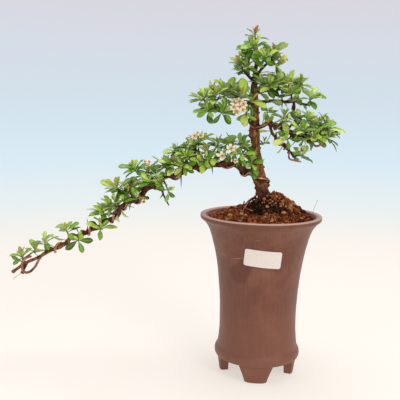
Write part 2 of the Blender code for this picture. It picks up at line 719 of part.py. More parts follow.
def outer_part(root, ahead, up, length, width):
    """The blade beyond its first quarter, to test against its neighbours in a rosette."""
    return blade(root + ahead * (length * 0.30), ahead, up, length * 0.70, width, LEAF_GAP * 0.5)


def stem_start(limbs, centre, crowd):
    """Seat and direction of a twig on the nearest limb, shifted along it to miss the wires."""
    choices = []
    for limb in limbs:
        place, gap = limb.nearest(centre)
        choices.append((gap, place, limb))
    choices.sort(key=lambda row: row[0])
    gap, place, limb = choices[0]
    for shift in SEAT_SHIFTS:
        point, ahead, radius = limb.at(place + shift)
        outward = centre - point
        tip = place + shift >= len(limb.axis) - 1.3
        if tip and outward.normalized().dot(ahead) > 0.6:
            point = limb.axis[-1]
            seat = point + ahead * SEAT_GAP
            outward = ahead
        else:
            outward = (outward - ahead * outward.dot(ahead)).normalized()
            seat = point + outward * (radius + SEAT_GAP)
        path = [seat, seat + outward * 2.0]
        if crowd.clear(tube(path, [STEM_RADIUS + LEAF_GAP] * 2, 5)):
            break
    return seat, outward


def bud_shape(centre, axis, radius):
    """A small pointed egg, such as a flower bud or a dried berry."""
    axis = axis.normalized()
    points = [centre + axis * (radius * s) for s in (-0.9, -0.3, 0.5, 1.2)]
    return tube(points, [radius * 0.45, radius, radius * 0.8, 0.0], 5, pointed=True)


def rosette_axis(seat, centre):
    """Direction in which a rosette opens: along its twig, turned towards the light."""
    along = (centre - seat).normalized()
    if along.z < -0.2:
        return (along + FRONT * 0.5 + UP * 0.2).normalized()
    return (along * 0.75 + UP * 0.75 + FRONT * 0.35).normalized()


def rosette_blades(centre, axis, count, length, crowd, mates, rng):
    """Leaf blades round a centre, each turned or shortened until it is clear."""
    side = axis.orthogonal().normalized()
    across = axis.cross(side)
    begin = rng.uniform(0.0, math.tau)
    placed = []
    for k in range(count):
        level = k / max(count - 1, 1)
        for turn_shift, lean_shift, size in LEAF_TRIES:
            turn = begin + k * 2 * math.tau / (count | 1) + math.radians(turn_shift)
            lean = math.radians(86 - 44 * level + lean_shift)
            out = side * math.cos(turn) + across * math.sin(turn)
            ahead = (axis * math.cos(lean) + out * math.sin(lean)).normalized()
            up = (axis - ahead * axis.dot(ahead)).normalized()
            reach = length * size * (1.0 - 0.22 * level)
            width = reach * LEAF_WIDTH
            root = centre + axis * (HUB_SPREAD * (level - 0.45))
            outer = outer_part(root, ahead, up, reach, width)
            if any(BVHTree.FromPolygons(*outer).overlap(mate) for mate in mates):
                continue
            if crowd.clear(blade(root, ahead, up, reach, width, LEAF_GAP)):
                mates.append(BVHTree.FromPolygons(*outer))
                placed.append(blade(root, ahead, up, reach, width))
                break
    return placed


def clear_centre(path, place, axis, crowd):
    """The rosette centre, or a spot near it, whose twig and hub cross nothing."""
    for nudge in NUDGES:
        centre = Vector(place) + Vector(nudge) * NUDGE_STEP
        trial = [path[-1], centre, centre + axis * (HUB_SPREAD * 0.6)]
        if crowd.clear(tube(trial, [HUB_RADIUS + LEAF_GAP] * 3, STEM_SIDES)):
            return centre
    return Vector(place)


def spray_shapes(limbs, rosettes, crowd, rng):
    """All closed shapes of one leafy spray: its forked twig and its blades."""
    shapes = []
    mates = []
    first = Vector(rosettes[0][:3])
    seat, outward = stem_start(limbs, first, crowd)
    fork = None
    for x, y, z, count, size in rosettes:
        if fork is None:
            path = [seat, seat + outward * 2.0]
        else:
            path = [fork]
        axis = rosette_axis(path[0], Vector((x, y, z)))
        centre = clear_centre(path, (x, y, z), axis, crowd)
        if fork is None:
            fork = path[-1].lerp(centre, 0.35)
        path.append(centre + axis * (HUB_SPREAD * 0.6))
        widths = [STEM_RADIUS] * (len(path) - 1) + [HUB_RADIUS]
        shapes.append(tube(path, widths, STEM_SIDES))
        shapes += rosette_blades(centre, axis, count, LEAF_LENGTH * size, crowd, mates, rng)
    return shapes


def flower_shape(centre, facing, radius):
    """One open blossom: five round petals in a shallow dish with a raised middle."""
    side = facing.orthogonal().normalized()
    across = facing.cross(side)
    verts = [centre + facing * (radius * 0.20), centre - facing * (radius * 0.26)]
    ring = []
    for petal in range(PETALS):
        for shift, reach, lift in ((-0.5, 0.60, 0.10), (-0.2, 1.0, 0.26), (0.2, 1.0, 0.26)):
            turn = math.tau * (petal + shift) / PETALS
            ring.append(len(verts))
            out = side * math.cos(turn) + across * math.sin(turn)
            verts.append(centre + out * (radius * reach) + facing * (radius * lift))
    faces = []
    for k, here in enumerate(ring):
        after = ring[(k + 1) % len(ring)]
        faces += [(0, here, after), (1, after, here)]
    return verts, faces


def cluster_shapes(limbs, hub, flowers, radius, crowd):
    """A flower cluster: one stalk to a hub, then a short stalk to each blossom."""
    hub = Vector(hub)
    seat, outward = stem_start(limbs, hub, crowd)
    knee = seat + outward * 2.0
    shapes = [tube([seat, knee, hub], [0.8, 0.7, 0.6], 4)]
    for place in flowers:
        centre = Vector(place)
        facing = ((centre - hub).normalized() + FRONT * 0.9).normalized()
        foot = centre - facing * (radius * 0.1)
        shapes.append(tube([hub, foot], [STALK_RADIUS] * 2, 3))
        shapes.append(flower_shape(centre, facing, radius))
    return shapes


def berry_shapes(limbs, crowd):
    """A dried berry and two withered stalks, hanging from the long branch."""
    centre = Vector(BERRY_CENTRE)
    seat, outward = stem_start(limbs, centre, crowd)
    knee = seat + outward * 1.5
    shapes = [tube([seat, knee, centre], [0.8, 0.7, 0.6], 4)]
    shapes.append(bud_shape(centre, centre - knee, BERRY_RADIUS))
    for x, z in ((-6.0, 0.5), (-4.0, -4.5)):
        end = centre + Vector((x, -1.0, z))
        shapes.append(tube([knee, end], [0.6, 0.5], 4))
        shapes.append(bud_shape(end, end - knee, 1.1))
    return shapes


def make_label(material):
    """The blank sticker, bent round the pot's front."""
    columns = 6
    rows = 2
    verts = []
    for layer in (0, 1):
        for j in range(rows + 1):
            for i in range(columns + 1):
                across = (i / columns - 0.5) * LABEL_WIDTH
                rise = (j / rows - 0.5) * LABEL_HEIGHT
                if i in (0, columns) and j in (0, rows):
                    across -= math.copysign(LABEL_CORNER * 0.3, across)
                    rise -= math.copysign(LABEL_CORNER * 0.3, rise)
                flat_x = LABEL_CENTRE[0] + across * math.cos(LABEL_TILT) - rise * math.sin(LABEL_TILT)
                z = LABEL_CENTRE[1] + across * math.sin(LABEL_TILT) + rise * math.cos(LABEL_TILT)
                radius = radius_at(POT_OUTSIDE, z) + LABEL_GAP + layer * LABEL_THICK
                turn = flat_x / radius_at(POT_OUTSIDE, LABEL_CENTRE[1])
                verts.append((radius * math.sin(turn), -radius * math.cos(turn), z))
    count = (rows + 1) * (columns + 1)
    faces = []
    for j in range(rows):
        for i in range(columns):
            a = j * (columns + 1) + i
            quad = (a, a + 1, a + columns + 2, a + columns + 1)
            faces += [quad, tuple(count + k for k in quad)]
    border = [i for i in range(columns)]
    border += [j * (columns + 1) + columns for j in range(rows)]
    border += [rows * (columns + 1) + i for i in range(columns, 0, -1)]
    border += [j * (columns + 1) for j in range(rows, 0, -1)]
    for k, here in enumerate(border):
        after = border[(k + 1) % len(border)]
        faces.append((here, after, count + after, count + here))
    add_object("label", (verts, faces), material)


def make_tree(material, limbs, roots):
    """Trunk, surface roots, branches and thorns, fused into the one body that they grew as."""
    shapes = [limb.shape() for limb in limbs]
    shapes += [root.shape() for root in roots]
    for base, tip in THORNS:
        path = [Vector(base), Vector(tip)]
        shapes.append(tube(path, [THORN_RADIUS, 0.0], 4, pointed=True))
    combine("tree", shapes, material)
    return shapes


def centre_on_origin():
    """Hang every object on an empty that brings the whole outline's middle to the origin."""
    carrier = bpy.data.objects.new("bonsai_origin", None)
    bpy.context.scene.collection.objects.link(carrier)
    low = [math.inf] * 3
    high = [-math.inf] * 3
    for item in bpy.data.objects:
        if item.type != "MESH":
            continue
        item.parent = carrier
        for vert in item.data.vertices:
            for k in range(3):
                low[k] = min(low[k], vert.co[k])
                high[k] = max(high[k], vert.co[k])
    carrier.location = (-(low[0] + high[0]) / 2, -(low[1] + high[1]) / 2, -low[2])
    bpy.context.view_layer.update()


def main():
    """Model the whole bonsai."""
    clear_scene()
    clay = make_material("fired_clay", (0.20, 0.10, 0.065), 0.6)
    plastic = make_material("mesh_plastic", (0.03, 0.03, 0.03), 0.5)
    earth = make_material("akadama", (0.38, 0.16, 0.06), 0.95)
    bark = make_material("bark", (0.10, 0.055, 0.03), 0.8)
    green = make_material("leaf", (0.10, 0.28, 0.03), 0.35)
    petal = make_material("petal", (0.85, 0.80, 0.68), 0.6)
    copper = make_material("wire_metal", (0.45, 0.18, 0.11), 0.35, 1.0)
    paper = make_material("label_paper", (0.85, 0.85, 0.85), 0.5)

    trunk = Limb(TRUNK, 10.0, 8)
    branch = Limb(LONG_BRANCH, 10.0, 6)
    limbs = [trunk, branch]
    named = {name: Limb(points, 10.0, 5) for name, points in BRANCHES.items()}
    limbs += list(named.values())
    roots = [Limb(points, 9.0, 6) for points in ROOTS]
    carriers = [limb for limb in limbs if limb not in (named["cut_stub"], named["thorny_twig"],
                                                       named["brown_bud"])]

    crowd = Crowd()
    tree_shapes = make_tree(bark, limbs, roots)
    for shape in tree_shapes:
        crowd.add(shape)

    wires = {
        "wire_long": (long_wire(trunk, branch), WIRE_THICK, 4),
        "wire_low": (low_wire(trunk, named["right_low"]), WIRE_MEDIUM, 4),
        "wire_hang": (hang_wire(named["right_hang"]), WIRE_THIN, 4),
    }
    for name, (points, radius, sides) in wires.items():
        shape = tube(points, [radius] * len(points), sides)
        add_object(name, shape, copper)
        crowd.add(shape)

    make_pot(clay)
    half = make_drain_mesh(plastic)
    make_label(paper)
    recess = half + SEAT_GAP
    low = POT_FLOOR - 2.0
    high = POT_FLOOR + SEAT_GAP + MESH_THICK + SEAT_GAP
    net_room = box_shape((-recess, -recess, low), (recess, recess, high))
    buried = wires["wire_long"][0][:3]
    buried = [buried[0] - (buried[1] - buried[0]).normalized() * SEAT_GAP] + buried[1:]
    wire_room = tube(buried, [WIRE_THICK + SEAT_GAP] * 3, 7)
    stump = Limb(TRUNK[:5], 10.0, 8)
    stump.axis[0] = stump.axis[0] - UP * SEAT_GAP
    cutters = [stump.shape(SEAT_GAP), net_room, wire_room]
    cutters += [grown(root, SEAT_GAP) for root in roots]
    ground = soil_shape()
    combine("soil", [ground] + cutters, earth, "DIFFERENCE")
    crowd.add(ground)

    for name, hub, flowers, radius in FLOWERS:
        shapes = cluster_shapes(carriers, hub, flowers, radius, crowd)
        combine(name, shapes, petal)
        for shape in shapes:
            crowd.add(shape)
    shapes = berry_shapes(carriers, crowd)
    combine("dried_berry", shapes, bark)
    for shape in shapes:
        crowd.add(shape)

    for index, (name, rosettes) in enumerate(SPRAYS):
        rng = random.Random(SEED + index)
        shapes = spray_shapes(carriers, rosettes, crowd, rng)
        combine("leaves_" + name, shapes, green)
        for shape in shapes:
            crowd.add(shape)
    centre_on_origin()


main()
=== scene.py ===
"""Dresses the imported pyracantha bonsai: fine pieces, finishes, light and camera.

Lengths are millimetres in the plant's own frame: the pot stands round x = y = 0 on z = 0, its
looked-at side faces -Y and the long branch trails to -X. The Workbench turns them to metres.
"""

from __future__ import annotations

import json
import logging
import math
import random
from collections.abc import Sequence
from dataclasses import dataclass, field
from enum import Enum
from typing import Any

import bmesh
import bpy
import numpy as np
from mathutils import Euler, Matrix, Vector, kdtree, noise
from mathutils.bvhtree import BVHTree

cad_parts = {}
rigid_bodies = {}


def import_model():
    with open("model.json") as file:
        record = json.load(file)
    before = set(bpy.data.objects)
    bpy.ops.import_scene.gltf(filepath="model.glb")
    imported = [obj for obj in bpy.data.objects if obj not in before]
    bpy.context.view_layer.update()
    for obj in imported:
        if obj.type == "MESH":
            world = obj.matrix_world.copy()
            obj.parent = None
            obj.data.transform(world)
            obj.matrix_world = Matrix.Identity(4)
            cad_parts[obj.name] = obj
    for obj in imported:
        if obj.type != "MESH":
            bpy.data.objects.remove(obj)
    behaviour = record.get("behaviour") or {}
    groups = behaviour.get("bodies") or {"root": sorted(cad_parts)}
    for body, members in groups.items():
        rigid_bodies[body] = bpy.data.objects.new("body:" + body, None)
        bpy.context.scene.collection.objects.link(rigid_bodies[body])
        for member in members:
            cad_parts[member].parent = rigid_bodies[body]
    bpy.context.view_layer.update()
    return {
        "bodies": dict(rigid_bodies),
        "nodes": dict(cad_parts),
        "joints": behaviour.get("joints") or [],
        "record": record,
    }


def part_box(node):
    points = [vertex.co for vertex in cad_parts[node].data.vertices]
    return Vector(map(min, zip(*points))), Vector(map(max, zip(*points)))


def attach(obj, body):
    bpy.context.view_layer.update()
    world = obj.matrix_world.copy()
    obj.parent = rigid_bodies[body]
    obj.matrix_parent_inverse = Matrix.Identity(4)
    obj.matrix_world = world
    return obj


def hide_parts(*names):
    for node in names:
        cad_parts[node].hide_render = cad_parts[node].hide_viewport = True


log = logging.getLogger("bonsai")

Point = Sequence[float]
Shape = tuple[Sequence[Point], Sequence[Sequence[int]]]
Paint = tuple[float, float, float, float]
WoodPoint = tuple[float, float, float, float]

MM = 0.001
BODY = "root"
FRONT = Vector((0.0, -1.0, 0.0))
UP = Vector((0.0, 0.0, 1.0))
NO_PAINT: Paint = (0.0, 0.0, 0.0, 0.0)

# Sockets of Blender's colour Mix node
MIX_A = 6
MIX_B = 7
MIX_RESULT = 2


class Slot(Enum):
    """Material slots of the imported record."""

    CLAY = "clay"
    SOIL = "soil"
    BARK = "bark"
    LEAF = "leaf"
    PETAL = "petal"
    DRIED_FRUIT = "dried_fruit"
    WIRE = "wire"
    LABEL_PAPER = "label_paper"
    MESH_PLASTIC = "mesh_plastic"


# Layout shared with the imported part

SEED = 1707
SEAT_GAP = 0.4
LEAF_GAP = 0.35
WIRE_GAP = 0.45
# Ways to shift a twig's seat along its limb, in stations
SEAT_SHIFTS = (0.0, 0.3, -0.3, 0.6, -0.6, 0.9, -0.9, 1.2, -1.2, 1.6, -1.6, 2.0, -2.0)
STEM_RADIUS = 1.2
STEM_SIDES = 3
HUB_RADIUS = 1.5
HUB_SPREAD = 3.6
LEAF_LENGTH = 17.0
LEAF_WIDTH = 0.40
LEAF_THICK = 1.0
LEAF_SECTIONS = ((0.0, 0.12), (0.42, 0.80), (0.74, 1.0))
LEAF_ARCH = 0.16
# Ways to move a rosette whose twig would cross something, in steps
NUDGE_STEP = 2.5
NUDGES = ((0, 0, 0), (0, -1, 0), (0, 0, 1), (0, 1, 0), (1, 0, 0), (-1, 0, 0), (0, -1, 1), (0, 1, 1),
          (1, -1, 0), (-1, -1, 0), (1, 0, 1), (-1, 0, 1), (0, -2, 0), (0, 2, 0), (0, 0, 2))
# Ways to set a leaf that would cross something: turn and lean in degrees, share of length
LEAF_TRIES = ((0, 0, 1.0), (20, -8, 1.0), (-20, -8, 1.0), (40, -14, 0.9), (-40, -14, 0.9),
              (10, -22, 0.85), (70, -10, 0.8), (-70, -10, 0.8))
THORN_RADIUS = 0.9

TRUNK: list[WoodPoint] = [
    (5, 8, 164, 8.0), (5, 8, 186, 9.2), (4, 8, 203, 9.6), (1, 8, 213, 7.9), (-2, 7, 225, 8.5),
    (-5, 6, 235, 8.4), (-6, 5, 246, 6.4), (-6, 5, 252, 5.2), (-8, 4, 261, 4.9), (-9, 3, 270, 5.3),
    (-10, 2, 279, 6.2), (-10, 0, 293, 5.6), (-11, -1, 306, 5.2), (-11, 0, 317, 4.8),
    (-12, 1, 326, 4.4), (-12, 2, 334, 3.9), (-12, 3, 342, 3.1), (-11, 3, 352, 2.4),
    (-10, 2, 361, 2.0), (-10, 2, 368, 1.8), (-11, 2, 375, 1.6), (-12, 2, 381, 1.4),
]
ROOTS: list[list[WoodPoint]] = [
    [(4, 6, 203, 5.5), (3, -4, 195, 4.6), (2, -12, 186, 3.4), (2, -18, 178, 2.2)],
    [(2, 8, 201, 5.5), (-7, 8, 193, 4.2), (-16, 8, 185, 3.0), (-23, 8, 176, 1.8)],
    [(5, 10, 203, 5.5), (14, 14, 200, 4.4), (24, 19, 190, 3.2), (32, 24, 178, 2.0)],
]
LONG_BRANCH: list[WoodPoint] = [
    (-6, 6, 235, 4.6), (-14, 3.5, 235, 4.4), (-19, 2, 236, 4.1), (-24, 0, 239, 3.9),
    (-30, -3, 244, 4.0), (-38, -6, 246, 4.0), (-48, -8, 244, 3.7), (-57, -9, 244, 3.6),
    (-65, -9, 241, 3.8), (-72, -8, 240, 3.6), (-81, -6, 240, 3.4), (-86, -5, 238, 3.6),
    (-93, -6, 233, 3.4), (-100, -9, 230, 3.2), (-109, -12, 229, 3.2), (-115, -14, 224, 3.1),
    (-122, -14, 219, 3.2), (-127, -12, 216, 3.1), (-133, -10, 213, 3.2), (-137, -10, 207, 3.0),
    (-142, -12, 201, 2.9), (-150, -15, 199, 2.9), (-156, -18, 196, 2.9), (-161, -20, 191, 2.9),
    (-165, -20, 182, 2.8), (-175, -18, 177, 2.7), (-182, -16, 173, 2.7), (-188, -15, 167, 2.7),
    (-197, -16, 164, 2.6), (-206, -18, 159, 2.6), (-220, -20, 154, 2.5), (-227, -20, 147, 2.5),
    (-235, -18, 142, 2.4), (-245, -17, 138, 2.4), (-255, -16, 132, 2.3), (-264, -17, 127, 2.2),
    (-273, -18, 123, 2.1), (-281, -18, 118, 2.0), (-292, -18, 110, 1.8),
]
BRANCHES: dict[str, list[WoodPoint]] = {
    "upper_left": [(-11, 0, 314, 3.0), (-22, -7, 313, 2.2), (-33, -12, 310, 2.0),
                   (-44, -13, 308, 1.8), (-55, -11, 309, 1.6), (-64, -8, 312, 1.3)],
    "upper_back": [(-12, 2, 321, 2.4), (-28, 9, 322, 1.8), (-42, 14, 325, 1.6), (-54, 17, 325, 1.3)],
    "right_front": [(-11, 0, 314, 3.0), (2, 5, 316, 2.1), (12, 9, 317, 1.9), (28, 11, 316, 1.8),
                    (34, 11, 318, 1.8), (41, 10, 314, 1.6), (52, 8, 313, 1.3)],
    "right_back": [(-12, 2, 325, 2.6), (1, 12, 328, 1.8), (15, 18, 330, 1.6), (29, 21, 331, 1.4),
                   (38, 22, 332, 1.2)],
    "right_low": [(-9, 0, 287, 3.2), (-2, -4, 288, 2.5), (4, -8, 291, 2.2), (9, -10, 290, 2.2),
                  (16, -12, 287, 2.1), (24, -14, 284, 2.0), (31, -16, 280, 1.9),
                  (42, -17, 278, 1.8), (50, -16, 274, 1.6), (60, -13, 273, 1.3)],
    "right_hang": [(7, -9, 290, 2.0), (9, -11, 282, 1.8), (13, -12, 277, 1.7), (18, -14, 271, 1.6),
                   (24, -17, 266, 1.6), (30, -20, 261, 1.5), (34, -22, 255, 1.3)],
    "apex_right": [(-12, 2, 341, 2.4), (-5, 0, 351, 1.8), (3, -2, 359, 1.3)],
    "apex_left": [(-12, 2, 337, 2.4), (-19, 0, 344, 1.7), (-25, -3, 350, 1.3)],
    "long_twig_near": [(-74, -8, 240, 2.0), (-77, -9, 254, 1.5), (-76, -8, 263, 1.2)],
    "long_twig_far": [(-127, -12, 216, 2.2), (-132, -11, 223, 1.7), (-142, -10, 231, 1.2)],
    "long_twig_fork": [(-131, -11, 221, 1.6), (-132, -8, 229, 1.2)],
    "cut_stub": [(-275, -18, 121, 1.9), (-279, -20, 110, 1.6)],
    "thorny_twig": [(-115, -14, 222, 1.7), (-112, -15, 209, 1.3), (-105, -16, 196, 0.8)],
    "brown_bud": [(33, 11, 317, 1.6), (34, 9, 311, 1.5)],
}
LEAFLESS = ("cut_stub", "thorny_twig", "brown_bud")
THORNS: list[tuple[Point, Point]] = [
    ((-93, -6, 232), (-92, -9, 215)), ((20, 10, 316), (20, 9, 307)), ((20, 10, 317), (19, 7, 325)),
    ((-112, -15, 209), (-116, -16, 203)), ((-109, -15, 203), (-104, -16, 206)),
    ((-10, 2, 279), (-19, -2, 284)), ((-6, 5, 246), (3, 0, 251)), ((-57, -9, 244), (-56, -12, 232)),
    ((-202, -17, 161), (-199, -18, 172)), ((-150, -15, 199), (-151, -17, 188)),
    ((16, -12, 287), (19, -14, 296)), ((-44, -13, 308), (-43, -17, 300)),
]

# Leafy sprays: name and its rosettes as (x, y, z, leaves, length factor)
SPRAYS: list[tuple[str, list[tuple[float, float, float, int, float]]]] = [
    ("tip", [(-280, -18, 128, 5, 1.0), (-267, -11, 134, 4, 0.9)]),
    ("low_a", [(-252, -17, 146, 5, 1.05)]),
    ("low_b", [(-225, -19, 162, 5, 1.0)]),
    ("low_c", [(-209, -26, 153, 5, 1.05)]),
    ("low_d", [(-184, -11, 183, 5, 1.0)]),
    ("low_e", [(-168, -14, 190, 5, 1.05)]),
    ("low_f", [(-183, -25, 167, 4, 0.95)]),
    ("mid_a", [(-152, -7, 211, 4, 1.0), (-166, -12, 212, 5, 1.15)]),
    ("mid_b", [(-142, -20, 203, 4, 1.0)]),
    ("mid_c", [(-146, -10, 235, 4, 0.9)]),
    ("mid_d", [(-133, -6, 233, 4, 0.9)]),
    ("mid_e", [(-111, -7, 240, 4, 1.0), (-100, -20, 243, 4, 0.9)]),
    ("mid_f", [(-97, -2, 257, 4, 1.0), (-84, 0, 261, 4, 0.9)]),
    ("mid_g", [(-116, -23, 223, 4, 0.9)]),
    ("mid_h", [(-106, -18, 213, 4, 0.85)]),
    ("mid_i", [(-87, -12, 251, 4, 0.95), (-88, -19, 243, 4, 0.85)]),
    ("mid_j", [(-76, -8, 268, 5, 0.95)]),
    ("near_a", [(-62, -14, 257, 4, 0.95), (-66, -21, 248, 4, 0.9)]),
    ("near_b", [(-54, -3, 265, 4, 1.0), (-39, -1, 267, 4, 1.0)]),
    ("near_c", [(-22, -1, 263, 4, 1.0), (-24, -13, 256, 4, 0.9)]),
    ("near_d", [(-13, -13, 246, 6, 1.05)]),
    ("near_e", [(-43, -17, 253, 4, 0.9)]),
    ("top_left_a", [(-68, -8, 317, 5, 0.95)]),
    ("top_left_b", [(-54, -14, 320, 4, 0.95), (-34, -7, 325, 5, 1.0)]),
    ("top_left_c", [(-45, 8, 327, 4, 1.0), (-60, 16, 327, 4, 0.95)]),
    ("top_left_d", [(-25, -18, 319, 4, 1.1), (-15, -15, 314, 4, 0.9)]),
    ("top_left_e", [(-62, -16, 304, 4, 0.95), (-46, -18, 302, 4, 0.95)]),
    ("top_left_f", [(-20, -14, 302, 4, 0.95)]),
    ("crown_a", [(-13, 2, 387, 5, 0.95)]),
    ("crown_b", [(-13, -7, 374, 4, 0.95), (-17, -5, 364, 4, 0.9)]),
    ("crown_c", [(-3, -10, 361, 4, 1.0)]),
    ("crown_d", [(8, -2, 366, 5, 1.1), (11, -4, 356, 4, 0.95)]),
    ("crown_e", [(-29, -4, 354, 4, 0.95), (-21, -8, 352, 4, 0.9)]),
    ("right_a", [(1, 4, 332, 4, 1.05), (14, 10, 334, 4, 1.0)]),
    ("right_b", [(27, 14, 335, 4, 1.0), (41, 19, 335, 4, 0.95)]),
    ("right_c", [(29, 4, 324, 4, 0.95)]),
    ("right_d", [(51, 5, 319, 5, 1.0)]),
    ("right_e", [(3, 1, 305, 4, 0.9)]),
    ("right_f", [(22, -8, 297, 4, 0.95)]),
    ("right_g", [(36, -12, 295, 4, 0.95), (47, -19, 294, 4, 1.0)]),
    ("right_h", [(57, -10, 287, 4, 0.95), (70, -10, 286, 5, 1.05)]),
    ("right_i", [(56, -23, 277, 4, 1.0), (72, -15, 277, 4, 0.95)]),
    ("right_j", [(40, -25, 283, 4, 0.9)]),
    ("right_k", [(27, -20, 275, 4, 0.85)]),
    ("right_l", [(43, -24, 256, 4, 0.95)]),
    ("trunk_shoot", [(0, 3, 268, 4, 0.6)]),
]
# Share of bronze in the young leaves of a spray; the others stay green
BRONZE_SPRAYS: dict[str, float] = {
    "tip": 0.5, "low_b": 0.55, "mid_a": 0.75, "mid_c": 0.4, "mid_e": 0.9, "near_a": 0.6,
    "near_d": 0.3, "top_left_b": 0.45, "top_left_d": 1.0, "crown_a": 1.0, "crown_d": 0.9,
    "crown_e": 0.8, "right_c": 0.3, "right_i": 0.7,
}

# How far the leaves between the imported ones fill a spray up, from 0 for hardly to 2 for well; all other
# sprays are lush, which is 3
FULLNESS: dict[str, int] = {name: level for level, names in enumerate((
    "low_c mid_h crown_a right_e right_l trunk_shoot",
    "tip low_a low_b low_f right_k top_left_d top_left_f near_e",
    "mid_b mid_j near_a near_b near_c near_d top_left_a top_left_b top_left_c top_left_e crown_b crown_c "
    "crown_d crown_e right_b right_c right_d right_f right_g right_i right_j")) for name in names.split()}
LUSH = 3

# Flower clusters: name, hub, flowers as (x, y, z), flower radius
FLOWERS: list[tuple[str, Point, list[Point], float]] = [
    ("flowers_upper_left", (-32, -20, 309), [(-39, -25, 316), (-30, -27, 317), (-23, -25, 313),
     (-38, -29, 308), (-29, -30, 309), (-34, -26, 301), (-24, -26, 304)], 4.6),
    ("flowers_long_twig", (-79, -11, 269), [(-81, -18, 276), (-73, -20, 277), (-85, -13, 271)], 4.4),
    ("flowers_near_trunk", (-36, -17, 253), [(-35, -24, 263), (-44, -27, 255), (-30, -24, 250)], 5.2),
    ("flowers_far_twig", (-130, -10, 238), [(-135, -14, 246), (-127, -15, 246), (-130, -18, 240)], 4.2),
]


# Finishes


def linear(code: str) -> tuple[float, float, float, float]:
    """Turn an sRGB hex colour to linear red, green, blue and a full alpha.

    Args:
        code: colour as "#rrggbb".

    Returns:
        The four linear channels.
    """
    shares = [int(code[k:k + 2], 16) / 255 for k in (1, 3, 5)]
    red, green, blue = [s / 12.92 if s <= 0.04045 else ((s + 0.055) / 1.055) ** 2.4 for s in shares]
    return red, green, blue, 1.0


class Mixture:
    """A Principled material being mixed, with the piece's own millimetres as its coordinates."""

    def __init__(self, name: str) -> None:
        """Start a material.

        Args:
            name: the finish's plain name.
        """
        self.material = bpy.data.materials.new(name)
        self.material.use_nodes = True
        self.tree = self.material.node_tree
        self.grid: bpy.types.NodeSocket | None = None
        place = self.add("TexCoord", {}, "Object")
        self.grid = self.add("VectorMath", {"operation": "SCALE", "Vector": place, "Scale": 1 / MM})
        paint = self.add("Attribute", {"attribute_name": "paint"}, "Color").node
        parts = self.add("SeparateColor", {"Color": paint.outputs["Color"]}).node
        self.paint = [*parts.outputs, paint.outputs["Alpha"]]

    def put(self, node: bpy.types.Node, settings: dict[str | int, Any]) -> None:
        """Set or link what a node reads.

        Args:
            node: the node.
            settings: properties and inputs by name or index; a socket is linked, a hex colour is turned
                to linear, and "stops" fills a ramp.
        """
        for key, value in settings.items():
            if key == "stops":
                ramp = node.color_ramp.elements
                while len(ramp) < len(value):
                    ramp.new(1.0)
                for stop, (place, code) in zip(ramp, value):
                    stop.position = place
                    stop.color = linear(code)
            elif isinstance(value, bpy.types.NodeSocket):
                self.tree.links.new(value, node.inputs[key])
            elif isinstance(key, int) or key in node.inputs:
                node.inputs[key].default_value = linear(value) if isinstance(value, str) else value
            else:
                setattr(node, key, value)

    def add(self, kind: str, settings: dict[str | int, Any], out: str | int = 0) -> bpy.types.NodeSocket:
        """Add a node with its settings and links; a vector input left open reads the grid.

        Args:
            kind: node type without its ShaderNode prefix.
            settings: what put takes.
            out: name or index of the output wanted.

        Returns:
            That output.
        """
        node = self.tree.nodes.new("ShaderNode" + kind)
        if self.grid and "Vector" in node.inputs and kind != "MapRange":
            settings = {"Vector": self.grid, **settings}
        self.put(node, settings)
        return node.outputs[out]

    def finish(self, ground: Any, coats: Sequence[tuple[bpy.types.NodeSocket, Any]],
               height: bpy.types.NodeSocket, relief: float, values: dict[str, Any]) -> bpy.types.Material:
        """Lay coats over the ground colour, raise the relief and set the shader's constant values.

        Args:
            ground: colour under the coats, a socket or a hex colour.
            coats: share and colour of each coat, lowest first.
            height: socket of the surface relief, from 0 to 1.
            relief: height of the relief in millimetres.
            values: constant shader inputs by name.

        Returns:
            The finished material.
        """
        for share, coat in coats:
            ground = self.add("Mix", {"data_type": "RGBA", 0: share, MIX_A: ground, MIX_B: coat}, MIX_RESULT)
        bump = self.add("Bump", {"Strength": 1.0, "Distance": relief * MM, "Height": height})
        self.put(self.tree.nodes["Principled BSDF"], {**values, "Base Color": ground, "Normal": bump})
        return self.material


